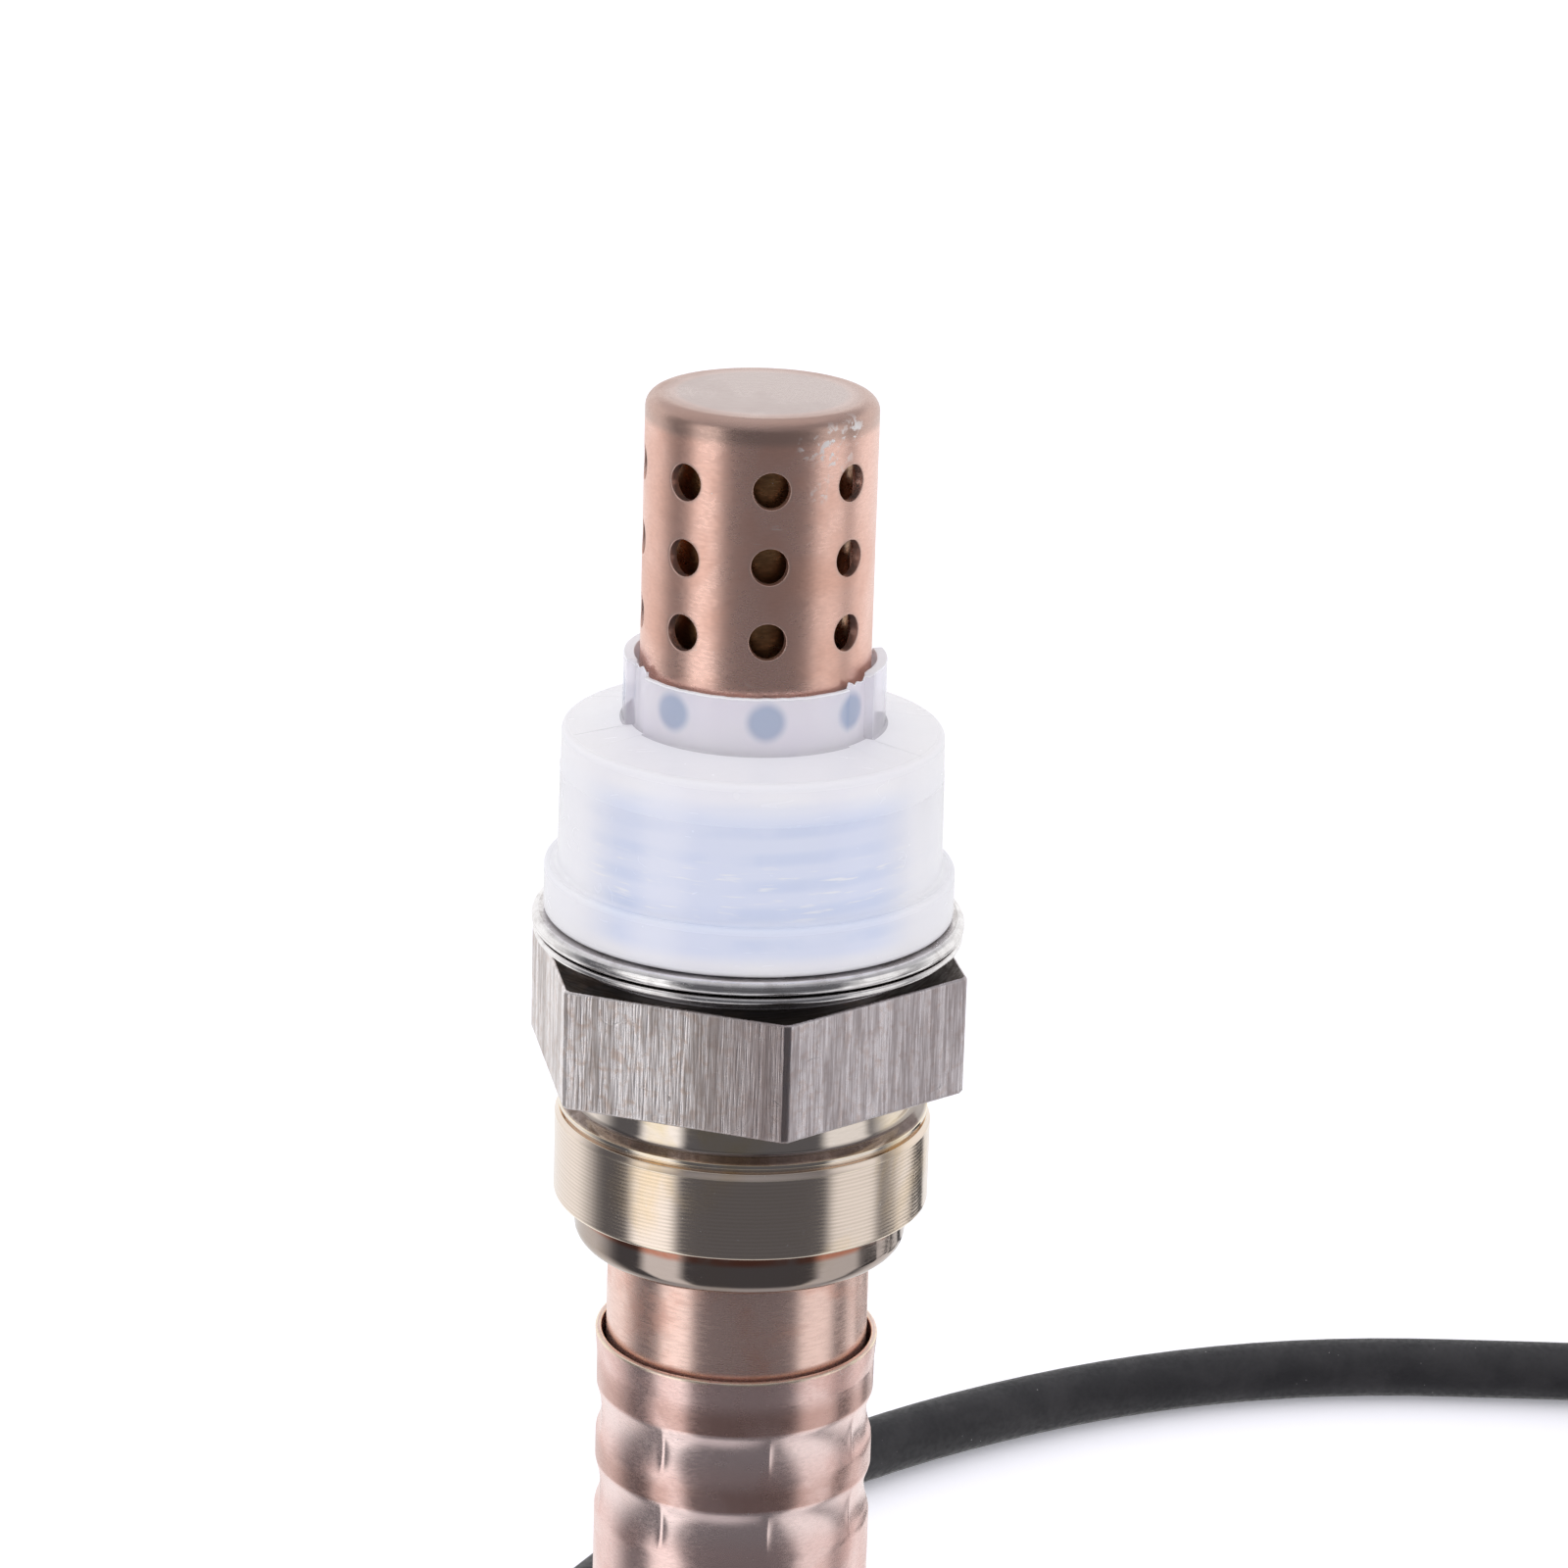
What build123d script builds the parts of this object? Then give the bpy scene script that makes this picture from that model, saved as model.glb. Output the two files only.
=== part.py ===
from build123d import *
import math
import os

# Four-wire heated oxygen sensor with an M18 thread, its push-on thread cap and its lead.
# Millimetres. Z is the sensor's axis with the tip up. z = 0 is the top of the gasket, where
# the exhaust boss lands: the thread and the tip are above it, the hex and the lead below.

# ---- driving dimensions -------------------------------------------------------------------

# gasket: one strip folded into an S, around the root of the thread
GASKET_SHEET = 0.36
GASKET_FOLD_GAP = 0.1
GASKET_WIDTH = 2.8
GASKET_BORE_GAP = 0.1           # over the thread's crests

# housing: thread, seat, hex, neck and crimped collar
THREAD_RADIUS = 8.93            # M18 x 1.5, as measured over the crests
THREAD_LENGTH = 8.9
THREAD_CHAMFER = 0.8
RELIEF_DEPTH = 0.83
WASHER_FACE_WIDTH = 2.0
WASHER_FACE_HEIGHT = 0.8
HEX_FLATS = 22.0
HEX_HEIGHT = 6.7
HEX_CORNER_TRIM = 0.1           # how much the corners are turned down
HEX_TURN = 10.8                 # degrees by which a corner stands off the front
NECK_HEIGHT = 2.2
NECK_DEPTH = 0.85               # below the ring
NECK_FLARE = 1.1
RING_DEPTH = 0.18               # below the collar
RING_HEIGHT = 0.25
RING_GROOVE = 0.25
COLLAR_STEP = 1.18              # from the crimp out to the collar
COLLAR_CHAMFER = 0.35
COLLAR_HEIGHT = 4.6
CRIMP_WALL = 1.0
CRIMP_HEIGHT = 2.75
CRIMP_LIP_HEIGHT = 2.2
CRIMP_LIP_ROUND = 1.5
BORE_RADIUS = 6.6
NOSE_LIP_HEIGHT = 2.0
POCKET_DEPTH = 1.3

# protector tubes
PROTECTOR_RADIUS = 6.24
PROTECTOR_WALL = 0.5
PROTECTOR_HEIGHT = 19.3         # above the housing's nose
PROTECTOR_ROUND = 1.4
PROTECTOR_FLANGE_WIDTH = 0.5
PROTECTOR_FLANGE_THICKNESS = 0.5
HOLE_RADIUS = 1.0
HOLE_COLUMNS = 8
HOLE_ROWS = 4
HOLE_PITCH = 4.1
HOLE_TOP_DROP = 3.75            # from the protector's top to the first row
HOLE_TURN = 6.0                 # degrees from the front to the first column
INNER_TUBE_GAP = 0.84           # between the two tubes
INNER_TUBE_WALL = 0.4
INNER_TUBE_DROP = 2.3           # from the outer top to the inner top
INNER_TUBE_ROUND = 0.8
INNER_FLANGE_THICKNESS = 0.5
INNER_VENT_RADIUS = 0.75
INNER_VENT_COLUMNS = 6
TIP_VENT_RADIUS = 0.9
BORE_LEDGE_GAP = 0.35           # the gas bore is this much smaller than the inner tube

# ceramic stack and sensing element
ELEMENT_WIDTH = 4.2
ELEMENT_THICKNESS = 1.3
ELEMENT_TIP_DROP = 3.4          # from the inner tube's top to the element's tip
ELEMENT_BEVEL = 0.35
SLOT_CLEARANCE = 0.1
SEAL_THICKNESS = 0.5
FRONT_CERAMIC_LENGTH = 5.5
TALC_LENGTH = 4.5
REAR_CERAMIC_LENGTH = 8.6
CERAMIC_CLEARANCE = 0.1
TALC_CLEARANCE = 0.02
CERAMIC_BEVEL = 0.3
SPRING_HEIGHT = 0.6
SPRING_THICKNESS = 0.3
SPRING_BORE_RADIUS = 5.3
SPRING_OVERLAP = 0.75           # how far the spring reaches over the sleeve's flange

# inner sleeve and outer cover
SLEEVE_RADIUS = 7.3
SLEEVE_WALL = 0.4
SLEEVE_FLANGE_WIDTH = 0.86
SLEEVE_FLANGE_THICKNESS = 0.4
SLEEVE_WIDE_LENGTH = 9.3        # from the flange to the step
SLEEVE_NARROWING = 0.35
SLEEVE_NARROW_LENGTH = 22.2
COVER_DROP = 5.6                # from the housing's end to the cover's rim
COVER_RIM_FLARE = 0.14
COVER_RIM_HEIGHT = 0.9
COVER_GAP = 0.43                # between the cover and the narrow sleeve
COVER_WALL = 0.4
COVER_LENGTH = 24.7
COVER_END_ROUND = 0.66
CRIMP_SIDES = 8
CRIMP_TURN = 15.1               # degrees from the front to a crease between two jaws
CRIMP_CLEARANCE = 0.04
CRIMP_EASE = 0.5                # height over which a dent runs out into the round cover
CRIMP_ROWS = ((3.3, 3.0), (7.9, 3.0), (21.1, 1.9))   # drop below the rim and height of each row
VENT_RADIUS = 0.8
VENT_COUNT = 4
VENT_DROP = 17.1                # from the cover's rim to the vents
FILTER_HEIGHT = 4.6
FILTER_CLEARANCE = 0.05

# contact holder, contacts, wires and grommet
HOLDER_DROP = 5.8               # from the rear ceramic to the contact holder
HOLDER_LENGTH = 14.5
HOLDER_SIDE_GAP = 0.35          # between the element and the window's sides
CLIP_WALL = 0.3
CLIP_HEIGHT = 3.6
CLIP_GAP = 2.4
CLIP_DROP = 8.5                 # from the holder's top to the clip
CLIP_CLEARANCE = 0.03
WIRE_SPACING = 2.1              # centre to centre, the same both ways
WIRE_RADIUS = 0.75
WIRE_CLEARANCE = 0.05
STRAND_RADIUS = 0.45
CONTACT_WIDTH = 1.2
CONTACT_THICKNESS = 0.22
CONTACT_BOW = 1.33              # from the element's face to the leaf's back
CONTACT_PRESS_LENGTH = 1.2
CONTACT_TOP_DROP = 1.5          # from the holder's top to the contacts' top
ELEMENT_END_COVER = 0.5         # from the element's end to the holder's end
BARREL_WALL = 0.3
BARREL_LENGTH = 3.0
BARREL_DROP = 2.0               # from the holder's end to the barrels
GROMMET_PLUG_LENGTH = 5.6
GROMMET_FLANGE_HEIGHT = 1.4
GROMMET_NECK_RADIUS = 5.0
GROMMET_NECK_LENGTH = 7.4
GROMMET_TIP_WALL = 0.8
GROMMET_CLEARANCE = 0.04

# thread cap
CAP_SEAT_CLEARANCE = 0.05
CAP_THREAD_GAP = 0.63
CAP_WALL = 0.8
CAP_DRAFT = 0.13                # growth of the radius from the shoulder to the flange
CAP_FLANGE_WIDTH = 0.71
CAP_FLANGE_HEIGHT = 2.7
CAP_NOSE_GAP = 0.45
CAP_SHOULDER_FALL = 0.5
CAP_SHOULDER_ROUND = 0.35
TONGUE_CLEARANCE = 0.29
TONGUE_WALL = 0.29
TONGUE_HEIGHT = 3.15
SIDE_WALL = 0.58
SIDE_RISE = 0.5                 # how much taller the side segments are than the tongues
SIDE_ARC = 60.0
CAP_TURN = -3.0                 # degrees from the front to the middle of the front tongue

# lead: sleeved cable, its route on the surface, coil and connector
SURFACE_Z = -97.1
CABLE_RADIUS = 2.5
CABLE_MIN_BEND = 5.0            # least bend radius, in cable diameters
COIL_RADIUS = 27.5              # to the cable's centre
COIL_CENTRE = (112.0, 124.0)
COIL_TURNS = 2.25
CABLE_ROUTE = [
    (0.0, 0.0, -57.3),
    (0.0, 0.0, -73.1),
    (-2.4, 7.5, -86.8),
    (-7.4, 20.2, -94.6),
    (-19.0, 44.5, -94.6),
    (-27.5, 76.0, -94.6),
    (-16.0, 108.0, -94.6),
    (10.0, 134.0, -94.6),
    (42.0, 152.5, -94.6),
    (77.0, 153.0, -94.6),
    (112.0, 151.5, -94.6),
]
TAIL_ROUTE = [
    (139.5, 124.0, -83.35),
    (139.6, 105.0, -84.7),
    (141.0, 88.0, -88.6),
    (141.0, 72.0, -88.6),
]
FERRULE_LENGTH = 12.0
FERRULE_WALL = 0.5
FERRULE_OVERLAP = 4.0           # how far the ferrule grips the sleeve
SHORT_WIRE_LENGTH = 14.0
CONNECTOR_WIDTH = 19.0
CONNECTOR_HEIGHT = 17.0
CONNECTOR_LENGTH = 34.0
CONNECTOR_WALL = 1.6
CONNECTOR_ROUND = 2.0
MOUTH_DEPTH = 13.0
TOWER_LENGTH = 5.0
TOWER_GAP = 2.4                 # between the inner tower and the shroud
SEAL_MAT_LENGTH = 5.0
SEAL_CLEARANCE = 0.05
PIN_SPACING = 4.6
PIN_WIDTH = 1.2
PIN_REACH = 3.0                 # beyond the tower
LATCH_WIDTH = 8.0
LATCH_LENGTH = 20.0
LATCH_THICKNESS = 1.3
LATCH_LIFT = 1.5
RETAINER_THICKNESS = 1.2

# ---- levels and radii that follow -----------------------------------------------------------

gasket_height = 3 * GASKET_SHEET + 2 * GASKET_FOLD_GAP
relief_radius = THREAD_RADIUS - RELIEF_DEPTH
washer_face_radius = relief_radius + WASHER_FACE_WIDTH
gasket_bore = THREAD_RADIUS + GASKET_BORE_GAP
gasket_radius = gasket_bore + GASKET_WIDTH
nose_top = THREAD_LENGTH + THREAD_CHAMFER
seat_z = -gasket_height
hex_top = seat_z - WASHER_FACE_HEIGHT
hex_bottom = hex_top - HEX_HEIGHT
hex_corner_radius = HEX_FLATS / math.sqrt(3) - HEX_CORNER_TRIM
ring_top = hex_bottom - NECK_HEIGHT
groove_top = ring_top - RING_HEIGHT
groove_bottom = groove_top - RING_GROOVE
collar_top = groove_bottom - COLLAR_CHAMFER
collar_bottom = collar_top - COLLAR_HEIGHT
crimp_bottom = collar_bottom - CRIMP_HEIGHT

sleeve_flange_radius = SLEEVE_RADIUS + SLEEVE_FLANGE_WIDTH
pocket_radius = sleeve_flange_radius + CRIMP_CLEARANCE
crimp_radius = pocket_radius + CRIMP_WALL
collar_radius = crimp_radius + COLLAR_STEP
ring_radius = collar_radius - RING_DEPTH
neck_radius = ring_radius - NECK_DEPTH
sleeve_flange_bottom = crimp_bottom + CRIMP_LIP_HEIGHT
sleeve_flange_top = sleeve_flange_bottom + SLEEVE_FLANGE_THICKNESS
pocket_top = sleeve_flange_bottom + POCKET_DEPTH
rear_ceramic_bottom = sleeve_flange_top + SPRING_HEIGHT
talc_bottom = rear_ceramic_bottom + REAR_CERAMIC_LENGTH
front_ceramic_bottom = talc_bottom + TALC_LENGTH
seal_bottom = front_ceramic_bottom + FRONT_CERAMIC_LENGTH
ledge_z = seal_bottom + SEAL_THICKNESS
ceramic_radius = BORE_RADIUS - CERAMIC_CLEARANCE

protector_top = nose_top + PROTECTOR_HEIGHT
protector_flange_radius = PROTECTOR_RADIUS + PROTECTOR_FLANGE_WIDTH
lip_bottom = nose_top - NOSE_LIP_HEIGHT
outer_flange_bottom = lip_bottom - PROTECTOR_FLANGE_THICKNESS
inner_flange_bottom = outer_flange_bottom - INNER_FLANGE_THICKNESS
first_row_z = protector_top - HOLE_TOP_DROP
inner_tube_top = protector_top - INNER_TUBE_DROP
inner_tube_radius = PROTECTOR_RADIUS - PROTECTOR_WALL - INNER_TUBE_GAP
gas_bore_radius = inner_tube_radius - BORE_LEDGE_GAP

sleeve_step_z = sleeve_flange_bottom - SLEEVE_WIDE_LENGTH
sleeve_end_z = sleeve_step_z - SLEEVE_NARROW_LENGTH
sleeve_narrow_radius = SLEEVE_RADIUS - SLEEVE_NARROWING
sleeve_bore = SLEEVE_RADIUS - SLEEVE_WALL
sleeve_narrow_bore = sleeve_narrow_radius - SLEEVE_WALL
cover_rim_z = crimp_bottom - COVER_DROP
cover_end_z = cover_rim_z - COVER_LENGTH
cover_bore = sleeve_narrow_radius + COVER_GAP
cover_radius = cover_bore + COVER_WALL
cover_rim_radius = cover_radius + COVER_RIM_FLARE
vent_z = cover_rim_z - VENT_DROP

holder_top = rear_ceramic_bottom - HOLDER_DROP
holder_bottom = holder_top - HOLDER_LENGTH
holder_radius = sleeve_narrow_bore - 2 * CLIP_CLEARANCE - CLIP_WALL
window_width = ELEMENT_WIDTH + 2 * HOLDER_SIDE_GAP
window_depth = ELEMENT_THICKNESS + 2 * (CONTACT_BOW + CONTACT_THICKNESS)
clip_top = holder_top - CLIP_DROP
element_tip_z = inner_tube_top - ELEMENT_TIP_DROP
element_end_z = holder_bottom + ELEMENT_END_COVER
barrel_radius = STRAND_RADIUS + WIRE_CLEARANCE + BARREL_WALL
barrel_top = holder_bottom - BARREL_DROP
barrel_bottom = barrel_top - BARREL_LENGTH
wire_places = [(x * WIRE_SPACING / 2, y * WIRE_SPACING / 2) for x in (-1, 1) for y in (-1, 1)]
grommet_top = sleeve_end_z + GROMMET_PLUG_LENGTH
grommet_flange_bottom = sleeve_end_z - GROMMET_FLANGE_HEIGHT
grommet_tip_z = grommet_flange_bottom - GROMMET_NECK_LENGTH
grommet_tip_radius = CABLE_RADIUS + GROMMET_TIP_WALL

cap_bore = THREAD_RADIUS + CAP_THREAD_GAP
cap_top_radius = cap_bore + CAP_WALL
cap_low_radius = cap_top_radius + CAP_DRAFT
cap_flange_radius = cap_low_radius + CAP_FLANGE_WIDTH
cap_flange_top = CAP_SEAT_CLEARANCE + CAP_FLANGE_HEIGHT
cap_shoulder_z = nose_top + CAP_NOSE_GAP + CAP_WALL
cap_edge_z = cap_shoulder_z - CAP_SHOULDER_FALL
tongue_bore = PROTECTOR_RADIUS + TONGUE_CLEARANCE
tongue_top = cap_shoulder_z + TONGUE_HEIGHT


# ---- helpers --------------------------------------------------------------------------------

def turned(*corners):
    """A solid turned about Z from a closed outline of (radius, height) or (radius, height, fillet)."""
    points = [corner[:2] for corner in corners]
    fillets = [corner[2] if len(corner) > 2 else 0 for corner in corners]
    outline = FilletPolyline(*points, radius=fillets, close=True)
    return revolve(Plane.XZ * make_face(outline), Axis.Z)


def ring(outer, inner, bottom, top):
    """A plain tube or ring between two heights."""
    return turned((inner, bottom), (outer, bottom), (outer, top), (inner, top))


def rod(x, y, radius, bottom, top):
    """A round bar parallel to Z."""
    return Pos(x, y, bottom) * extrude(Circle(radius), top - bottom)


def block(width, depth, bottom, top):
    """A rectangular bar on the axis, wide along X."""
    return Pos(0, 0, bottom) * extrude(Rectangle(width, depth), top - bottom)


def around(count, first, radius, height, bore):
    """Radial drills through a tube's wall: `first` is in degrees from the front towards +X."""
    drill = Rot(90, 0, 0) * Cylinder(bore, 2 * radius, align=(Align.CENTER, Align.CENTER, Align.MIN))
    return [Rot(0, 0, first + 360 * i / count) * Pos(0, 0, height) * drill for i in range(count)]


def sector(radius, bottom, top, middle, arc):
    """A pie slice: `middle` is in degrees from the front towards +X, and `arc` under 180."""
    reach = 2 * radius
    left = math.radians(middle - arc / 2)
    right = math.radians(middle + arc / 2)
    corners = [(0, 0)]
    for angle in (left, (left + right) / 2, right):
        corners.append((reach * math.sin(angle), -reach * math.cos(angle)))
    return Pos(0, 0, bottom) * extrude(make_face(Polyline(*corners, close=True)), top - bottom)


def bend_radii(route):
    """The largest tangent arc for each corner of a route: 0.45 of its shorter run allows it."""
    points = [Vector(*p) for p in route]
    radii = []
    for before, here, after in zip(points, points[1:], points[2:]):
        run_in = here - before
        run_out = after - here
        half_turn = math.radians(run_in.get_angle(run_out)) / 2
        radii.append(0.45 * min(run_in.length, run_out.length) / math.tan(half_turn))
    return radii


# ---- housing and seals ----------------------------------------------------------------------

def housing():
    """Turned steel shell: thread, hex, collar, and a lip rolled in over the sleeve's flange."""
    lip_bore = SLEEVE_RADIUS + CRIMP_CLEARANCE
    shell = turned(
        (gas_bore_radius, inner_flange_bottom),
        (protector_flange_radius + CRIMP_CLEARANCE, inner_flange_bottom),
        (protector_flange_radius + CRIMP_CLEARANCE, lip_bottom),
        (PROTECTOR_RADIUS + CRIMP_CLEARANCE, lip_bottom),
        (PROTECTOR_RADIUS + CRIMP_CLEARANCE, nose_top),
        (THREAD_RADIUS - THREAD_CHAMFER, nose_top),
        (THREAD_RADIUS, THREAD_LENGTH),
        (THREAD_RADIUS, 0),
        (relief_radius, -RELIEF_DEPTH / 2),
        (relief_radius, seat_z, 0.2),
        (washer_face_radius, seat_z, 0.15),
        (washer_face_radius, hex_top),
        (hex_corner_radius, hex_top),
        (hex_corner_radius, hex_bottom),
        (neck_radius, hex_bottom, 0.3),
        (neck_radius, ring_top + NECK_FLARE, 1.2),
        (ring_radius, ring_top),
        (ring_radius, groove_top),
        (ring_radius - RING_GROOVE, groove_top),
        (ring_radius - RING_GROOVE, groove_bottom),
        (collar_radius - COLLAR_CHAMFER / 2, groove_bottom),
        (collar_radius, collar_top),
        (collar_radius, collar_bottom, 0.2),
        (crimp_radius, collar_bottom),
        (crimp_radius, crimp_bottom, CRIMP_LIP_ROUND),
        (lip_bore, crimp_bottom),
        (lip_bore, sleeve_flange_bottom),
        (pocket_radius, sleeve_flange_bottom),
        (pocket_radius, pocket_top),
        (BORE_RADIUS, pocket_top),
        (BORE_RADIUS, ledge_z),
        (gas_bore_radius, ledge_z),
    )
    hexagon = Rot(0, 0, HEX_TURN - 90) * RegularPolygon(HEX_FLATS / 2, 6, major_radius=False)
    outside_hex = Circle(2 * hex_corner_radius) - hexagon
    return shell - Pos(0, 0, hex_bottom) * extrude(outside_hex, HEX_HEIGHT)


def gasket():
    """Crush gasket: a steel strip folded over itself twice, open at both folds."""
    sheet, gap = GASKET_SHEET, GASKET_FOLD_GAP
    fold = 0.9 * (sheet + gap / 2)
    inner, outer = gasket_bore, gasket_radius
    second = sheet + gap
    third = second + sheet + gap
    edge = 0.4 * sheet
    slit = 0.4 * gap
    return Pos(0, 0, seat_z) * turned(
        (inner, 0, fold),
        (outer, 0, edge),
        (outer, sheet, edge),
        (inner + sheet, sheet, slit),
        (inner + sheet, second, slit),
        (outer, second, fold),
        (outer, third + sheet, fold),
        (inner, third + sheet, edge),
        (inner, third, edge),
        (outer - sheet, third, slit),
        (outer - sheet, second + sheet, slit),
        (inner, second + sheet, fold),
    )


def element_seal():
    """Soft metal washer between the housing's ledge and the front ceramic."""
    return ring(ceramic_radius, gas_bore_radius, seal_bottom, ledge_z)


# ---- protector ------------------------------------------------------------------------------

def protector_can(radius, wall, top, edge_round, flange_radius, flange_bottom, flange_top):
    """A drawn can with its closed end up and a flange at its base."""
    return turned(
        (0, top),
        (radius, top, edge_round),
        (radius, flange_top),
        (flange_radius, flange_top),
        (flange_radius, flange_bottom),
        (radius - wall, flange_bottom),
        (radius - wall, top - wall, max(edge_round - wall, 0.1)),
        (0, top - wall),
    )


def outer_protector():
    """Outer can with rows of gas holes all round."""
    can = protector_can(
        PROTECTOR_RADIUS, PROTECTOR_WALL, protector_top, PROTECTOR_ROUND,
        protector_flange_radius, outer_flange_bottom, lip_bottom,
    )
    drills = []
    for row in range(HOLE_ROWS):
        height = first_row_z - row * HOLE_PITCH
        drills += around(HOLE_COLUMNS, HOLE_TURN, PROTECTOR_RADIUS, height, HOLE_RADIUS)
    return can - drills


def inner_protector():
    """Inner can: its vents stand between the outer rows, so gas turns before the element."""
    can = protector_can(
        inner_tube_radius, INNER_TUBE_WALL, inner_tube_top, INNER_TUBE_ROUND,
        protector_flange_radius, inner_flange_bottom, outer_flange_bottom,
    )
    drills = [rod(0, 0, TIP_VENT_RADIUS, inner_tube_top - 2 * INNER_TUBE_WALL, inner_tube_top + 1)]
    for row in (0, HOLE_ROWS // 2):
        height = first_row_z - (row + 0.5) * HOLE_PITCH
        drills += around(INNER_VENT_COLUMNS, 0, inner_tube_radius, height, INNER_VENT_RADIUS)
    return can - drills


# ---- ceramic stack and element --------------------------------------------------------------

def slotted(radius, bottom, top, clearance, bevel):
    """A round block with a slot for the flat element."""
    body = turned((0, bottom), (radius, bottom, bevel), (radius, top, bevel), (0, top))
    width = ELEMENT_WIDTH + 2 * clearance
    depth = ELEMENT_THICKNESS + 2 * clearance
    return body - block(width, depth, bottom - 1, top + 1)


def front_ceramic():
    """Steatite bush above the talc."""
    radius = ceramic_radius
    return slotted(radius, front_ceramic_bottom, seal_bottom, SLOT_CLEARANCE, CERAMIC_BEVEL)


def talc_packing():
    """Pressed powder ring that seals the bore and grips the element."""
    radius = BORE_RADIUS - TALC_CLEARANCE
    return slotted(radius, talc_bottom, front_ceramic_bottom, TALC_CLEARANCE, 0)


def rear_ceramic():
    """Steatite bush that the spring pushes against the talc."""
    radius = ceramic_radius
    return slotted(radius, rear_ceramic_bottom, talc_bottom, SLOT_CLEARANCE, CERAMIC_BEVEL)


def sensor_element():
    """Flat laminated zirconia strip with its heater inside and a bevelled tip."""
    strip = block(ELEMENT_WIDTH, ELEMENT_THICKNESS, element_end_z, element_tip_z)
    return chamfer(strip.faces().sort_by(Axis.Z)[-1].edges(), ELEMENT_BEVEL)


def disc_spring():
    """Conical washer between the rear ceramic and the flange of the inner sleeve."""
    rim = sleeve_bore + SPRING_OVERLAP
    low, high = sleeve_flange_top, rear_ceramic_bottom
    return turned(
        (SPRING_BORE_RADIUS, high),
        (SPRING_BORE_RADIUS, high - SPRING_THICKNESS),
        (rim, low),
        (rim, low + SPRING_THICKNESS),
    )


# ---- sleeve and cover -----------------------------------------------------------------------

def inner_sleeve():
    """Drawn steel sleeve: its flange is trapped in the housing, and it narrows under the cover."""
    bore = SLEEVE_RADIUS - SLEEVE_WALL
    flange_radius = sleeve_flange_radius
    narrow_z = sleeve_step_z - (SLEEVE_RADIUS - sleeve_narrow_radius)
    tube = turned(
        (bore, sleeve_flange_top, 0.3),
        (flange_radius, sleeve_flange_top),
        (flange_radius, sleeve_flange_bottom),
        (SLEEVE_RADIUS, sleeve_flange_bottom),
        (SLEEVE_RADIUS, sleeve_step_z),
        (sleeve_narrow_radius, narrow_z),
        (sleeve_narrow_radius, sleeve_end_z),
        (sleeve_narrow_bore, sleeve_end_z),
        (sleeve_narrow_bore, narrow_z),
        (bore, sleeve_step_z),
    )
    return tube - around(VENT_COUNT, CRIMP_TURN, SLEEVE_RADIUS, vent_z, VENT_RADIUS)


def dented(radius, apothem, top, height):
    """A short length of the round cover pressed flat on several sides, easing out at both ends."""
    circle = Circle(radius)
    reach = CRIMP_TURN - 90
    flats = Rot(0, 0, reach) * RegularPolygon(apothem, CRIMP_SIDES, major_radius=False)
    waist = Pos(0, 0, top - height + CRIMP_EASE) * extrude(circle & flats, height - 2 * CRIMP_EASE)
    wide = Rot(0, 0, reach) * RegularPolygon(radius, CRIMP_SIDES, major_radius=False)
    ends = []
    for level, direction in ((top - CRIMP_EASE, 1), (top - height + CRIMP_EASE, -1)):
        ease = loft([Pos(0, 0, level) * flats, Pos(0, 0, level + direction * CRIMP_EASE) * wide])
        ends.append(ease & rod(0, 0, radius, top - height, top))
    return [waist, *ends]


def crimped_body(radius, apothem, top, bottom):
    """A round bar from top to bottom with the rows of crimp dents pressed into it."""
    level = top
    bar = []
    for drop, height in CRIMP_ROWS:
        row_top = cover_rim_z - drop
        bar.append(rod(0, 0, radius, row_top, level))
        bar += dented(radius, apothem, row_top, height)
        level = row_top - height
    bar.append(rod(0, 0, radius, bottom, level))
    return bar[0] + bar[1:]


def outer_cover():
    """Outer cover: flared rim, rows of crimps that grip the sleeve and grommet, curled end."""
    inner_apothem = sleeve_narrow_radius + CRIMP_CLEARANCE
    body_top = cover_rim_z - COVER_RIM_HEIGHT
    outside = crimped_body(cover_radius, inner_apothem + COVER_WALL, body_top, cover_end_z + COVER_END_ROUND)
    inside = crimped_body(cover_bore, inner_apothem, body_top, cover_end_z)
    flare = turned(
        (0, body_top), (cover_radius, body_top), (cover_rim_radius, cover_rim_z), (0, cover_rim_z),
    )
    mouth = turned(
        (0, body_top), (cover_bore, body_top),
        (cover_rim_radius - COVER_WALL / 2, cover_rim_z), (0, cover_rim_z),
    )
    curl = turned(
        (0, cover_end_z + COVER_END_ROUND), (0, cover_end_z),
        (cover_radius, cover_end_z, COVER_END_ROUND * 0.95),
        (cover_radius, cover_end_z + COVER_END_ROUND),
    )
    shell = (outside + flare + curl) - inside - mouth
    return shell - around(VENT_COUNT, CRIMP_TURN, cover_radius, vent_z, VENT_RADIUS)


def vent_filter():
    """Porous sleeve between the two shells: it lets in reference air and keeps out water."""
    return ring(
        cover_bore - FILTER_CLEARANCE, sleeve_narrow_radius + FILTER_CLEARANCE,
        vent_z - FILTER_HEIGHT / 2, vent_z + FILTER_HEIGHT / 2,
    )


# ---- contacts and wires ---------------------------------------------------------------------

def contact_holder():
    """Ceramic body with a window for the contacts and bevelled ends."""
    bevel = CERAMIC_BEVEL
    body = turned(
        (0, holder_bottom), (holder_radius, holder_bottom, bevel),
        (holder_radius, holder_top, bevel), (0, holder_top),
    )
    return body - block(window_width, window_depth, holder_bottom - 1, holder_top + 1)


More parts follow.
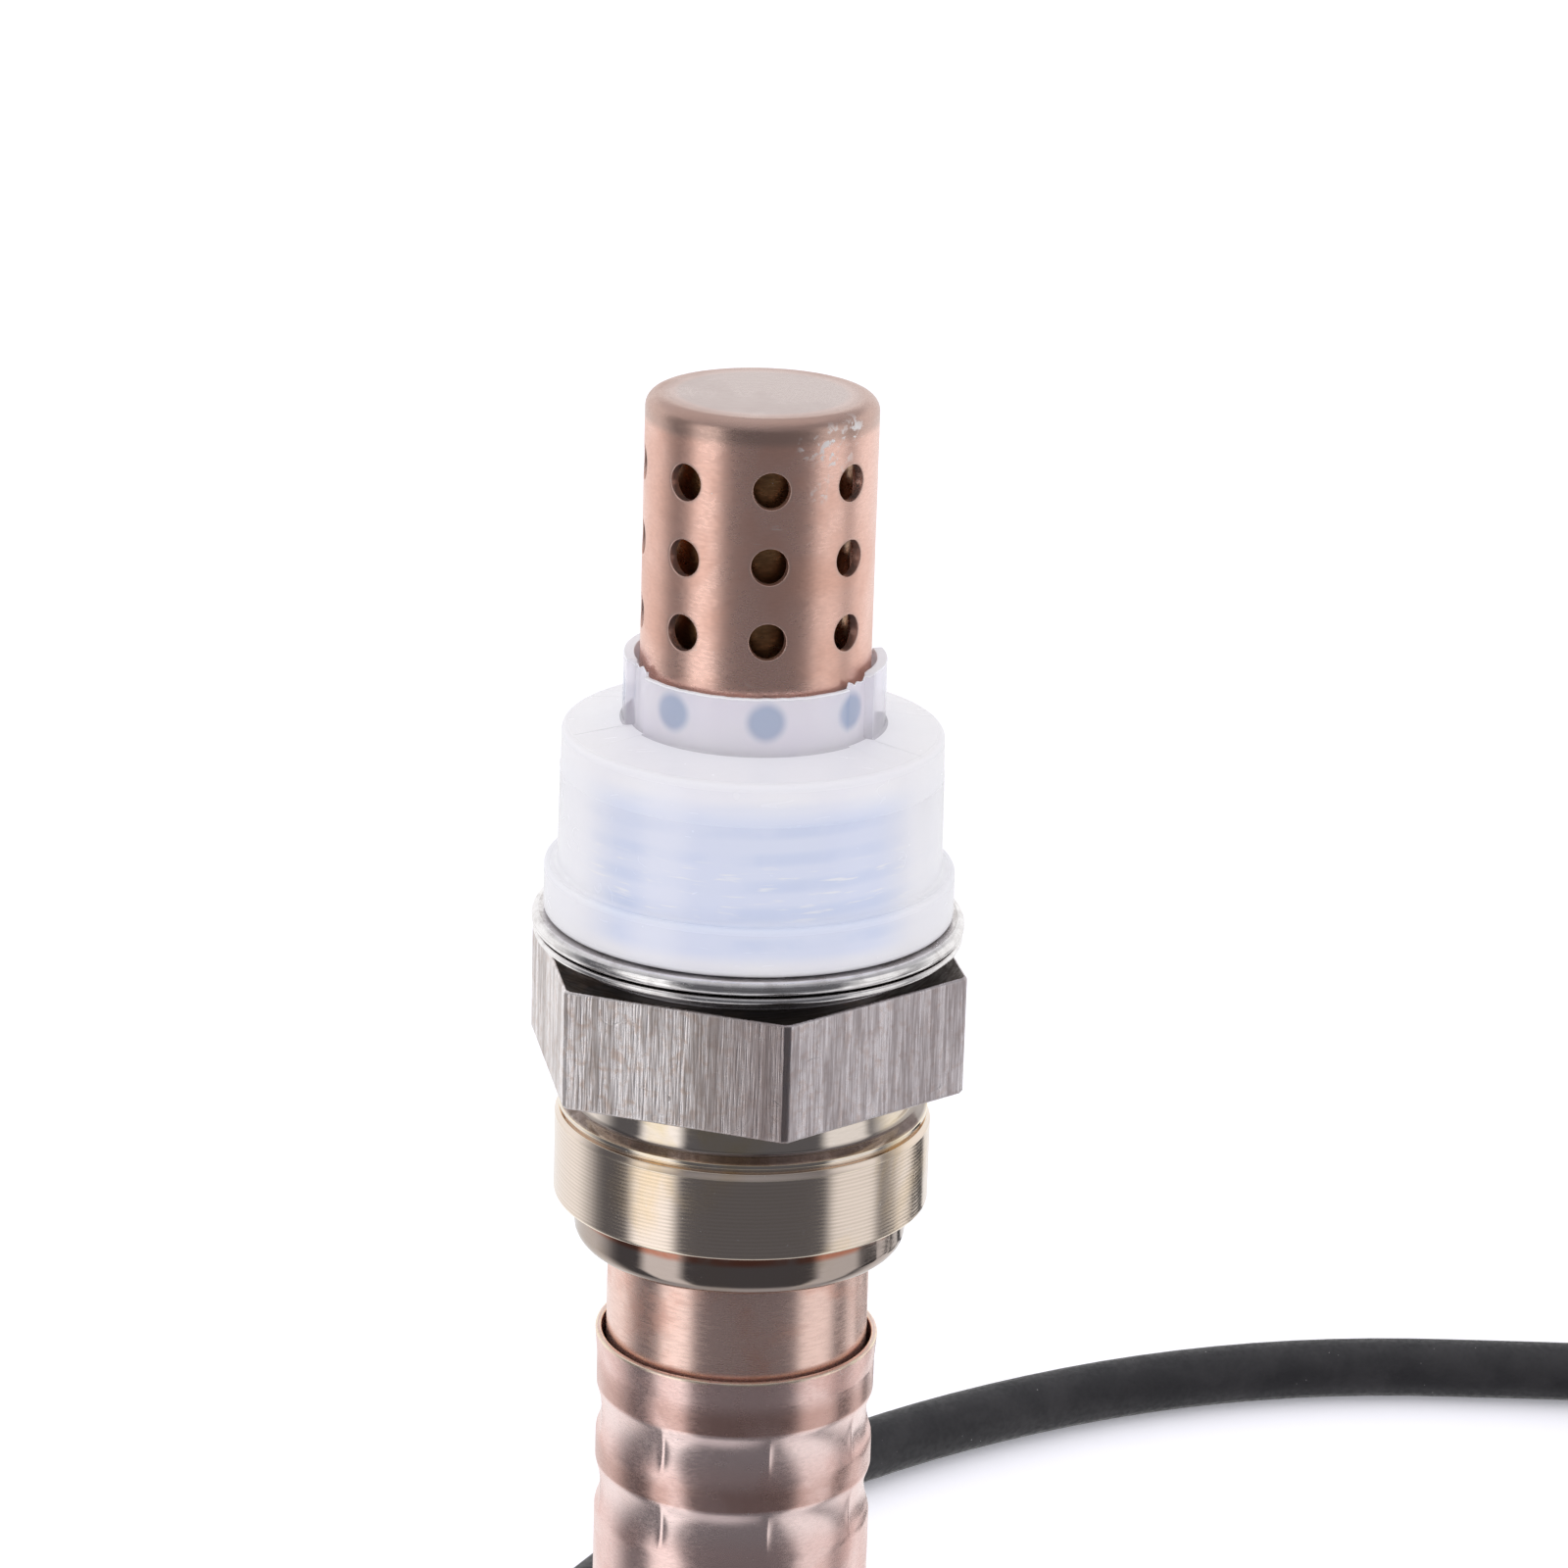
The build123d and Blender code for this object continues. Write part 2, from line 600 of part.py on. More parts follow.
def holder_clip():
    """Split spring ring that centres the contact holder in the sleeve."""
    bottom = clip_top - CLIP_HEIGHT
    clip = ring(sleeve_narrow_bore - CLIP_CLEARANCE, holder_radius + CLIP_CLEARANCE, bottom, clip_top)
    gap = Pos(0, holder_radius, bottom) * extrude(Rectangle(CLIP_GAP, holder_radius), CLIP_HEIGHT)
    return clip - gap


def contact_leaf(x, side):
    """One bowed leaf: it starts at the window's wall, presses on the element, ends at its barrel."""
    press_y = ELEMENT_THICKNESS / 2
    wall_y = press_y + CONTACT_BOW
    tail_y = WIRE_SPACING / 2 + barrel_radius - BARREL_WALL
    top = holder_top - CONTACT_TOP_DROP
    press = element_end_z + 2 * CONTACT_PRESS_LENGTH
    line = [
        (wall_y, top),
        (wall_y, (top + press) / 2),
        (press_y, press + CONTACT_PRESS_LENGTH / 2),
        (press_y, press - CONTACT_PRESS_LENGTH / 2),
        (tail_y, holder_bottom - BARREL_DROP / 3),
        (tail_y, barrel_top),
    ]
    outer = [(y + CONTACT_THICKNESS, z) for y, z in reversed(line)]
    outline = make_face(Polyline(*line, *outer, close=True))
    leaf = Pos(x - CONTACT_WIDTH / 2, 0, 0) * extrude(Plane.YZ * outline, CONTACT_WIDTH)
    return leaf if side > 0 else mirror(leaf, Plane.XZ)


def contacts():
    """Four leaf contacts, two on each face of the element."""
    return [contact_leaf(x, y) for x, y in wire_places]


def crimp_barrels():
    """Four barrels that join the contacts to the stranded wires."""
    barrels = []
    for x, y in wire_places:
        outer = rod(x, y, barrel_radius, barrel_bottom, barrel_top)
        barrels.append(outer - rod(x, y, barrel_radius - BARREL_WALL, barrel_bottom, barrel_top))
    return barrels


def lead_wire(x, y):
    """One insulated wire from its bare strands in the barrel to the grommet's tip."""
    strands = rod(x, y, STRAND_RADIUS, barrel_bottom, barrel_top - BARREL_WALL)
    return strands + rod(x, y, WIRE_RADIUS, grommet_tip_z, barrel_bottom)


def grommet():
    """Rubber plug with four bores, a flange that closes the cover and a tapered neck."""
    radius = sleeve_narrow_bore - GROMMET_CLEARANCE
    plug = turned(
        (0, grommet_top), (radius, grommet_top, 0.4), (radius, sleeve_end_z),
        (cover_bore - GROMMET_CLEARANCE, sleeve_end_z),
        (cover_bore - GROMMET_CLEARANCE, grommet_flange_bottom, 0.4),
        (GROMMET_NECK_RADIUS, grommet_flange_bottom, 0.8),
        (grommet_tip_radius, grommet_tip_z, 0.3),
        (0, grommet_tip_z),
    )
    bores = [rod(x, y, WIRE_RADIUS + WIRE_CLEARANCE, grommet_tip_z, grommet_top) for x, y in wire_places]
    return plug - bores


# ---- thread cap -----------------------------------------------------------------------------

def cap_collar(wall, height, middle, arc):
    """One raised segment of the collar that guides the cap along the protector."""
    radius = tongue_bore + wall
    segment = ring(radius, tongue_bore, cap_shoulder_z - CAP_WALL, height)
    return segment & sector(radius, cap_shoulder_z - CAP_WALL, height, middle, arc)


def thread_cap():
    """Moulded cap over the thread: flanged mouth, drafted wall, shoulder and slotted collar."""
    shell = turned(
        (cap_bore + CAP_DRAFT, CAP_SEAT_CLEARANCE),
        (cap_flange_radius, CAP_SEAT_CLEARANCE, 0.3),
        (cap_flange_radius, cap_flange_top, 0.25),
        (cap_low_radius, cap_flange_top, 0.2),
        (cap_top_radius, cap_edge_z, CAP_SHOULDER_ROUND),
        (tongue_bore, cap_shoulder_z),
        (tongue_bore, cap_shoulder_z - CAP_WALL),
        (cap_bore, cap_edge_z - CAP_WALL),
    )
    for turn in (0, 180):
        shell += cap_collar(TONGUE_WALL, tongue_top, CAP_TURN + turn, 180 - SIDE_ARC)
        shell += cap_collar(SIDE_WALL, tongue_top + SIDE_RISE, CAP_TURN + 90 + turn, SIDE_ARC)
    return shell


# ---- lead -----------------------------------------------------------------------------------

def cable_along(route):
    """A round cable of straight runs and tangent arcs."""
    path = FilletPolyline(*route, radius=bend_radii(route))
    start = Vector(*route[0])
    heading = Vector(*route[1]) - start
    return sweep(Plane(origin=start, z_dir=heading) * Circle(CABLE_RADIUS), path=path)


def cable_sleeve():
    """The sleeved lead from the grommet's tip to the coil."""
    return cable_along(CABLE_ROUTE)


def cable_tail():
    """The sleeved lead from the coil to its ferrule."""
    return cable_along(TAIL_ROUTE)


def cable_coil():
    """The outer shape of the coiled lead."""
    height = 2 * CABLE_RADIUS * (1 + COIL_TURNS)
    outer, inner = COIL_RADIUS + CABLE_RADIUS, COIL_RADIUS - CABLE_RADIUS
    bottom, top = SURFACE_Z, SURFACE_Z + height
    corner = CABLE_RADIUS * 0.8
    coil = turned((inner, bottom, corner), (outer, bottom, corner), (outer, top, corner), (inner, top, corner))
    return Pos(*COIL_CENTRE, 0) * coil


# The connector lies along -Y from the ferrule. `tail_end` is the centre of the cable's end.
tail_end = TAIL_ROUTE[-1]
ferrule_start = tail_end[1] + FERRULE_OVERLAP
ferrule_end = ferrule_start - FERRULE_LENGTH
connector_back = ferrule_end - SHORT_WIRE_LENGTH
connector_front = connector_back - CONNECTOR_LENGTH
mouth_floor = connector_front + MOUTH_DEPTH
tower_front = mouth_floor - TOWER_LENGTH
connector_z = SURFACE_Z + CONNECTOR_HEIGHT / 2
tower_width = CONNECTOR_WIDTH - 2 * CONNECTOR_WALL - 2 * TOWER_GAP
tower_height = CONNECTOR_HEIGHT - 2 * CONNECTOR_WALL - 2 * TOWER_GAP
pin_places = [(x * PIN_SPACING / 2, z * PIN_SPACING / 2) for x in (-1, 1) for z in (-1, 1)]


def along_y(profile, start, end):
    """A prism along -Y through the connector's centre, from y = start down to y = end."""
    base = Plane(origin=(tail_end[0], start, connector_z), x_dir=(1, 0, 0), z_dir=(0, -1, 0))
    return base * extrude(profile, start - end)


def sleeve_ferrule():
    """Shrink tube that closes the sleeve's end and holds the four wires together."""
    centre = Plane(origin=tail_end, x_dir=(1, 0, 0), z_dir=(0, -1, 0))
    outer = Pos(0, 0, -FERRULE_OVERLAP) * extrude(Circle(CABLE_RADIUS + FERRULE_WALL), FERRULE_LENGTH)
    grip = Pos(0, 0, -FERRULE_OVERLAP) * extrude(Circle(CABLE_RADIUS + WIRE_CLEARANCE), FERRULE_OVERLAP)
    return centre * (outer - grip)


def short_wire(index):
    """One bare wire from the ferrule's end to the connector's seal."""
    x, z = pin_places[index]
    spread = WIRE_SPACING / PIN_SPACING
    start = (tail_end[0] + x * spread, ferrule_end, tail_end[2] + z * spread)
    end = (tail_end[0] + x, connector_back, connector_z + z)
    ends = [Plane(origin=place, x_dir=(1, 0, 0), z_dir=(0, -1, 0)) * Circle(WIRE_RADIUS) for place in (start, end)]
    return loft(ends)


def connector_seal():
    """Rubber mat behind the terminals, with its face at the wires."""
    mat = RectangleRounded(
        CONNECTOR_WIDTH - 2 * CONNECTOR_WALL - 2 * SEAL_CLEARANCE,
        CONNECTOR_HEIGHT - 2 * CONNECTOR_WALL - 2 * SEAL_CLEARANCE, CONNECTOR_ROUND / 2,
    )
    return along_y(mat, connector_back, connector_back - SEAL_MAT_LENGTH)


def connector_housing():
    """Moulded shell: wire pocket behind, shrouded mouth with its tower in front, latch on top."""
    outline = RectangleRounded(CONNECTOR_WIDTH, CONNECTOR_HEIGHT, CONNECTOR_ROUND)
    pocket = RectangleRounded(
        CONNECTOR_WIDTH - 2 * CONNECTOR_WALL, CONNECTOR_HEIGHT - 2 * CONNECTOR_WALL, CONNECTOR_ROUND / 2,
    )
    tower = RectangleRounded(tower_width, tower_height, CONNECTOR_ROUND / 2)
    shell = along_y(outline, connector_back, connector_front)
    shell -= along_y(pocket, connector_back, connector_back - SEAL_MAT_LENGTH)
    shell -= along_y(pocket, mouth_floor, connector_front)
    shell += along_y(tower, mouth_floor, tower_front)
    for x, z in pin_places:
        way = Pos(x, z) * Rectangle(PIN_WIDTH + 2 * SEAL_CLEARANCE, PIN_WIDTH + 2 * SEAL_CLEARANCE)
        shell -= along_y(way, connector_back - SEAL_MAT_LENGTH, tower_front)
    return shell


def connector_latch():
    """Springy latch arm on the shell's top, rooted at its front end."""
    top = CONNECTOR_HEIGHT / 2
    arm = Pos(0, top + LATCH_LIFT + LATCH_THICKNESS / 2) * Rectangle(LATCH_WIDTH, LATCH_THICKNESS)
    root = Pos(0, top + LATCH_LIFT / 2) * Rectangle(LATCH_WIDTH, LATCH_LIFT)
    start = connector_front + LATCH_LENGTH
    latch = along_y(arm, start, connector_front + CONNECTOR_WALL)
    latch += along_y(root, connector_front + 3 * CONNECTOR_WALL, connector_front + CONNECTOR_WALL)
    return latch


def mouth_seal():
    """Ribbed rubber ring on the tower's root that seals the mating connector."""
    outer = RectangleRounded(tower_width + TOWER_GAP, tower_height + TOWER_GAP, CONNECTOR_ROUND)
    bore = RectangleRounded(
        tower_width + 2 * SEAL_CLEARANCE, tower_height + 2 * SEAL_CLEARANCE, CONNECTOR_ROUND / 2,
    )
    return along_y(outer - bore, mouth_floor, mouth_floor - TOWER_LENGTH / 2)


def terminal_retainer():
    """Coloured lock plate on the tower's face that keeps the terminals in."""
    plate = RectangleRounded(tower_width, tower_height, CONNECTOR_ROUND / 2)
    for x, z in pin_places:
        plate -= Pos(x, z) * Rectangle(PIN_WIDTH + 2 * SEAL_CLEARANCE, PIN_WIDTH + 2 * SEAL_CLEARANCE)
    return along_y(plate, tower_front, tower_front - RETAINER_THICKNESS)


def terminals():
    """Four plated pins from the seal to beyond the tower."""
    pins = []
    for x, z in pin_places:
        section = Pos(x, z) * Rectangle(PIN_WIDTH, PIN_WIDTH)
        pins.append(along_y(section, connector_back - SEAL_MAT_LENGTH, tower_front - PIN_REACH))
    return pins


# ---- nodes ----------------------------------------------------------------------------------

def wires_at(*indices):
    """A group of the sensor's lead wires."""
    return [lead_wire(*wire_places[i]) for i in indices]


def short_wires_at(*indices):
    """A group of the short wires at the connector."""
    return [short_wire(i) for i in indices]


NODES = {
    "housing": housing,
    "gasket": gasket,
    "outer_protector": outer_protector,
    "inner_protector": inner_protector,
    "element_seal": element_seal,
    "front_ceramic": front_ceramic,
    "talc_packing": talc_packing,
    "rear_ceramic": rear_ceramic,
    "sensor_element": sensor_element,
    "disc_spring": disc_spring,
    "inner_sleeve": inner_sleeve,
    "outer_cover": outer_cover,
    "vent_filter": vent_filter,
    "contact_holder": contact_holder,
    "holder_clip": holder_clip,
    "contacts": contacts,
    "crimp_barrels": crimp_barrels,
    "heater_wires": lambda: wires_at(0, 2),
    "signal_wire": lambda: wires_at(1),
    "ground_wire": lambda: wires_at(3),
    "grommet": grommet,
    "thread_cap": thread_cap,
    "cable_sleeve": cable_sleeve,
    "cable_coil": cable_coil,
    "cable_tail": cable_tail,
    "sleeve_ferrule": sleeve_ferrule,
    "connector_heater_wires": lambda: short_wires_at(0, 2),
    "connector_signal_wire": lambda: short_wires_at(1),
    "connector_ground_wire": lambda: short_wires_at(3),
    "connector_seal": connector_seal,
    "connector_housing": connector_housing,
    "connector_latch": connector_latch,
    "mouth_seal": mouth_seal,
    "terminal_retainer": terminal_retainer,
    "terminals": terminals,
}


def write_nodes():
    """Build each node and write it as its own STEP file."""
    os.makedirs("parts", exist_ok=True)
    for name, make in NODES.items():
        made = make()
        solids = [solid for piece in made for solid in piece.solids()] if isinstance(made, list) else made.solids()
        shape = solids[0] if len(solids) == 1 else Compound(children=list(solids))
        export_step(shape, f"parts/{name}.step")


def report_cable():
    """Print each bend of the lead and compare the swept volumes with section times length."""
    for label, route in (("lead", CABLE_ROUTE), ("tail", TAIL_ROUTE)):
        radii = bend_radii(route)
        length = FilletPolyline(*route, radius=radii).length
        share = cable_along(route).volume / (math.pi * CABLE_RADIUS ** 2 * length)
        print(label, "length", round(length, 1), "volume over section times length", round(share, 4))
        print(label, "bend radii", [round(r, 1) for r in radii])
        if min(radii) < CABLE_MIN_BEND * 2 * CABLE_RADIUS:
            print(label, "has a bend that is too tight")
    print("coil length", round(2 * math.pi * COIL_RADIUS * COIL_TURNS, 1))


write_nodes()
report_cable()
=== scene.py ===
# %% [markdown]
# # A heated oxygen sensor
# The CAD model of the sensor is loaded as a fixed frame: it says where each solid is, in metres.
# This lesson gives every piece that shows its finished surface, colour and wear. New surfaces are
# worked out with numpy, and each finish is a set of shader nodes that reads Object coordinates.

# %% Load the frame
import math

import bmesh
import bpy
import numpy as np
from mathutils import Matrix


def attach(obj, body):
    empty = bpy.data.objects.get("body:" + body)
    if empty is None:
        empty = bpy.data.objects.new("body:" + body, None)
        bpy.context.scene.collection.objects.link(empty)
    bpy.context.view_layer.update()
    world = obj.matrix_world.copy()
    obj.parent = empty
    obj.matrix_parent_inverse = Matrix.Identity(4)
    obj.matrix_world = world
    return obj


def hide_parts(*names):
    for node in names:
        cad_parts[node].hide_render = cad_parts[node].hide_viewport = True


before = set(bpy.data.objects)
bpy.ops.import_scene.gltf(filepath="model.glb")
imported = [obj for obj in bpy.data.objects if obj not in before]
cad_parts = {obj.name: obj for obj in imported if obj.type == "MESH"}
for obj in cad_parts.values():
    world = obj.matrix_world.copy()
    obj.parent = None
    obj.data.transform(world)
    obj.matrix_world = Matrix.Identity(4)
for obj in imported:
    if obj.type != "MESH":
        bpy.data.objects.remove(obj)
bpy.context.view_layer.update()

# %% [markdown]
# ## The camera
# A long lens stands a hand's length in front of the sensor and looks down a little. The camera's
# axes are worked out from its pitch and roll, so nothing has to be aimed by eye.

# %% Camera
def in_scene(name, data):
    """A new object in the scene."""
    made = bpy.data.objects.new(name, data)
    bpy.context.scene.collection.objects.link(made)
    return made


PITCH = math.radians(18.2)
ROLL = math.radians(1.759)
CAMERA_PLACE = (0.001739, -0.277606, 0.098505)
forward = np.array([0, math.cos(PITCH), -math.sin(PITCH)])
upward = np.array([0, math.sin(PITCH), math.cos(PITCH)])
sideways = np.array([1.0, 0, 0])
camera_x = math.cos(ROLL) * sideways + math.sin(ROLL) * upward
camera_y = math.cos(ROLL) * upward - math.sin(ROLL) * sideways
camera = in_scene("camera", bpy.data.cameras.new("camera"))
placed = np.eye(4)
placed[:3, 0] = camera_x
placed[:3, 1] = camera_y
placed[:3, 2] = -forward
placed[:3, 3] = CAMERA_PLACE
camera.matrix_world = Matrix(placed.tolist())
camera.data.sensor_width = 36
camera.data.lens = 123.75
camera.data.clip_start = 0.01
bpy.context.scene.camera = camera
print("lens", camera.data.lens, "mm")

# %% [markdown]
# ## The lead
# The lead is one length of sleeved cable, 5 mm thick. It leaves the grommet straight down, bends
# over onto the surface, runs off behind the sensor and is put away in a flat coil. One NURBS
# spline of order 3 has these places as its control points, so it turns smoothly and lies flat.

# %% Route of the lead
LEAD_RADIUS = 2.5
SURFACE = -97.1
LEAD_ROUTE = [
    (0, 0, -57.3),
    (0, 0, -73.1),
    (-1.4, 7.5, -86.8),
    (-5, 20.2, -94.6),
    (-13.5, 44.5, -94.6),
    (-19.8, 75, -94.6),
    (-13, 105.5, -94.6),
    (9, 133.8, -94.6),
    (42, 152.5, -94.6),
    (77, 153, -94.6),
    (112, 151.5, -94.6),
]
TAIL_ROUTE = [
    (139.5, 124, -83.35),
    (139.6, 105, -84.7),
    (141, 88, -88.6),
    (141, 72, -88.6),
]
COIL_CENTRE = (112, 124)
COIL_RADIUS = 27.5
COIL_TURNS = 2.25
POINTS_PER_TURN = 16
steps = round(COIL_TURNS * POINTS_PER_TURN)
reach = COIL_RADIUS / (0.75 + 0.25 * math.cos(2 * math.pi / POINTS_PER_TURN))
coil = []
for step in range(1, steps):
    turn = math.pi / 2 - 2 * math.pi * step / POINTS_PER_TURN
    height = -94.6 + 2 * LEAD_RADIUS * step / POINTS_PER_TURN
    x, y = COIL_CENTRE[0] + reach * math.cos(turn), COIL_CENTRE[1] + reach * math.sin(turn)
    coil.append((x, y, height))
print("coil points:", len(coil))

# %% Lead
def cord_curve(name, route, radius):
    """A round cord along one NURBS spline of order 3, whose control points are the route in mm.
    The bevel is 1 deep and each point's radius is the cord's, so the curve's box fits the cord."""
    line = bpy.data.curves.new(name, "CURVE")
    line.dimensions = "3D"
    spline = line.splines.new("NURBS")
    spline.points.add(len(route) - 1)
    for point, place in zip(spline.points, route):
        point.co = (*[value / 1000 for value in place], 1)
        point.radius = radius / 1000
    spline.order_u = 3
    spline.use_endpoint_u = True
    spline.resolution_u = 10
    line.bevel_depth = 1.0
    line.bevel_resolution = 6
    line.use_fill_caps = True
    return in_scene(name, line)


lead = cord_curve("lead", LEAD_ROUTE + coil + TAIL_ROUTE, LEAD_RADIUS)
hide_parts("cable_sleeve", "cable_coil", "cable_tail")
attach(lead, "sensor")
print("lead points:", len(lead.data.splines[0].points))

# %% [markdown]
# ## Surfaces from profiles
# Most pieces of the sensor are turned or drawn, so each is an outline in radius and height that is
# carried round the axis. A helper rounds the outline's corners, because no real edge is sharp, and
# marks the rounded ridges, so that a finish can be worn there.

# %% Outline with rounded corners
def soften(corners, steps=5, edge=0.04):
    """Rows of (radius, height, ridge) along a closed outline whose corners are drawn as arcs.

    A corner is (radius, height) or (radius, height, fillet), in mm, counted anticlockwise. An arc
    starts fillet / tan(half the corner's angle) from the corner on both sides, and its centre lies
    fillet / sin(half the angle) along the bisector. Ridge is 1 on an arc that stands outwards."""
    rows = np.array([(*corner, edge)[:3] for corner in corners], float)
    point, fillet = rows[:, :2], rows[:, 2]
    back = np.roll(point, 1, axis=0) - point
    ahead = np.roll(point, -1, axis=0) - point
    back_run = np.linalg.norm(back, axis=1)
    ahead_run = np.linalg.norm(ahead, axis=1)
    back /= back_run[:, None]
    ahead /= ahead_run[:, None]
    half = 0.5 * np.arccos(np.clip((back * ahead).sum(1), -0.99999, 0.99999))
    room = 0.47 * np.minimum(back_run, ahead_run)
    fillet = np.minimum(fillet, room * np.tan(half))
    cut = fillet / np.tan(half)
    middle = back + ahead
    middle /= np.linalg.norm(middle, axis=1)[:, None]
    centre = point + middle * (fillet / np.sin(half))[:, None]
    start = point + back * cut[:, None] - centre
    end = point + ahead * cut[:, None] - centre
    share = np.linspace(0, 1, steps)[None, :, None]
    sweep = (math.pi - 2 * half)[:, None, None]
    arc = np.sin((1 - share) * sweep) * start[:, None] + np.sin(share * sweep) * end[:, None]
    arc = arc / np.sin(sweep) + centre[:, None]
    hold = np.minimum(cut + 0.35 * fillet, 0.49 * np.minimum(back_run, ahead_run))[:, None]
    before = (point + back * hold)[:, None]
    after = (point + ahead * hold)[:, None]
    line = np.concatenate([before, arc, after], axis=1)
    outwards = back[:, 0] * ahead[:, 1] - back[:, 1] * ahead[:, 0] < 0
    ridge = np.zeros(line.shape[:2])
    ridge[:, 1:-1] = (outwards & (fillet > 0) & (fillet < 0.4))[:, None]
    return np.concatenate([line, ridge[:, :, None]], axis=2).reshape(-1, 3)


def divided(line, longest, closed=True):
    """The same outline with every run split so that no step is longer than `longest` mm."""
    following = np.roll(line, -1, axis=0)
    run = np.linalg.norm((following - line)[:, :2], axis=1)
    count = np.maximum(np.ceil(run / longest).astype(int), 1)
    if not closed:
        count[-1] = 1
    index = np.repeat(np.arange(len(line)), count)
    part = np.arange(count.sum()) - np.repeat(np.cumsum(count) - count, count)
    share = (part / count[index])[:, None]
    return line[index] * (1 - share) + following[index] * share


# %% Columns and grids
def columns(count, first=0.0, near=(), offsets=()):
    """Angles in radians from the front towards +X: evenly spread, and closer near some angles."""
    even = first + 360 * np.arange(count) / count
    close = (np.array(near, float)[:, None] + np.array(offsets, float)[None, :]).ravel()
    return np.radians(np.unique(np.round(np.concatenate([even, close]) % 360, 4)))


def carried(radius, height, angle):
    """Places (rows, columns, 3) at the radius and height of each row, carried round to each angle."""
    radius, height, angle = np.broadcast_arrays(radius, height, angle)
    return np.stack([radius * np.sin(angle), -radius * np.cos(angle), height], axis=2)


def turned(line, angle):
    """One grid: the outline's rows carried round the axis, with the ridge mark of each row."""
    places = carried(line[:, 0:1], line[:, 1:2], angle[None, :])
    return places, np.broadcast_to(line[:, 2:3], places.shape[:2])


# %% Mesh from grids
def piece(name, grids, body="sensor", replaces=(), crease=38, zones=None):
    """One mesh from grids of places in mm. Neighbouring places are joined by quads.

    A grid is (places, ridge, closes along its rows, closes along its columns). Doubles are merged,
    so seams and poles are closed. zones gives each row of the first grid its material slot."""
    places, ridges, quads, kinds, start = [], [], [], [], 0
    for place, ridge, along_rows, along_columns in grids:
        index = start + np.arange(place.shape[0] * place.shape[1]).reshape(place.shape[:2])
        below = index if along_rows else index[:-1]
        above = np.roll(index, -1, axis=0) if along_rows else index[1:]
        if along_columns:
            right, above_right = np.roll(below, -1, axis=1), np.roll(above, -1, axis=1)
        else:
            right, above_right = below[:, 1:], above[:, 1:]
            below, above = below[:, :-1], above[:, :-1]
        made = np.stack([below, right, above_right, above], axis=2)
        kind = np.zeros(made.shape[:2], int) if zones is None else zones[: len(made), None]
        kinds.append(np.broadcast_to(kind, made.shape[:2]).ravel())
        quads.append(made.reshape(-1, 4))
        places.append(place.reshape(-1, 3))
        ridges.append(np.asarray(ridge, float).ravel())
        start += index.size
    mesh = bpy.data.meshes.new(name)
    mesh.from_pydata(np.concatenate(places) / 1000, [], np.concatenate(quads))
    mesh.attributes.new("ridge", "FLOAT", "POINT").data.foreach_set("value", np.concatenate(ridges))
    mesh.polygons.foreach_set("material_index", np.concatenate(kinds))
    work = bmesh.new()
    work.from_mesh(mesh)
    bmesh.ops.remove_doubles(work, verts=work.verts, dist=1e-6)
    bmesh.ops.delete(work, geom=[edge for edge in work.edges if not edge.link_faces], context="EDGES")
    work.to_mesh(mesh)
    work.free()
    mesh.shade_smooth()
    mesh.set_sharp_from_angle(angle=math.radians(crease))
    made = in_scene(name, mesh)
    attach(made, body)
    if replaces:
        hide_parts(*replaces)
    print(name, "faces:", len(mesh.polygons))
    return made


# %% [markdown]
# ## Shader helpers
# A finish is a tree of nodes. These helpers add one node, one sum or one colour mix at a time, and
# open a group with named sockets.

# %% Node helpers
def add(tree, kind, inputs=None, **settings):
    """Adds a node. An input is a plain value, or a socket, which is linked."""
    made = tree.nodes.new(kind)
    for key, value in settings.items():
        setattr(made, key, value)
    for key, value in (inputs or {}).items():
        if isinstance(value, bpy.types.NodeSocket):
            tree.links.new(value, made.inputs[key])
        else:
            made.inputs[key].default_value = value
    return made


def sum_of(tree, operation, *values, clamp=False):
    """The result of one Math node."""
    inputs = dict(enumerate(values))
    return add(tree, "ShaderNodeMath", inputs, operation=operation, use_clamp=clamp).outputs[0]


def times(tree, first, second, clamp=False):
    """The product of two values."""
    return sum_of(tree, "MULTIPLY", first, second, clamp=clamp)


def mixed(tree, share, first, second):
    """A colour that goes from first to second with share."""
    inputs = {0: share, 6: first, 7: second}
    return add(tree, "ShaderNodeMix", inputs, data_type="RGBA").outputs[2]


def between(tree, value, low, high, to_low=0.0, to_high=1.0):
    """The value moved from one range to another, smoothly and clamped."""
    inputs = {0: value, 1: low, 2: high, 3: to_low, 4: to_high}
    return add(tree, "ShaderNodeMapRange", inputs, interpolation_type="SMOOTHSTEP").outputs[0]


def band(tree, value, rise, fall):
    """1 inside a band and 0 outside it. Each ramp is (where the mask is 0, where it is 1)."""
    return times(tree, between(tree, value, *rise), between(tree, value, *fall))


def here(tree):
    """The Object coordinates, in metres."""
    return add(tree, "ShaderNodeTexCoord").outputs["Object"]


def object_place(tree):
    """The Object coordinates, whole and as x, y and z."""
    place = here(tree)
    return place, add(tree, "ShaderNodeSeparateXYZ", {0: place}).outputs


def bearing_of(tree, axes):
    """The angle in radians round the axis, from the front towards +X."""
    return sum_of(tree, "ARCTAN2", axes[0], times(tree, axes[1], -1.0))


def open_group(name, inputs, outputs):
    """A shader group with its sockets, its input node's outputs and its output node's inputs."""
    group = bpy.data.node_groups.new(name, "ShaderNodeTree")
    for label, value in inputs.items():
        socket = group.interface.new_socket(label, in_out="INPUT", socket_type="NodeSocketFloat")
        socket.default_value = value
    for label in outputs:
        group.interface.new_socket(label, in_out="OUTPUT", socket_type="NodeSocketFloat")
    return group, group.nodes.new("NodeGroupInput").outputs, group.nodes.new("NodeGroupOutput").inputs


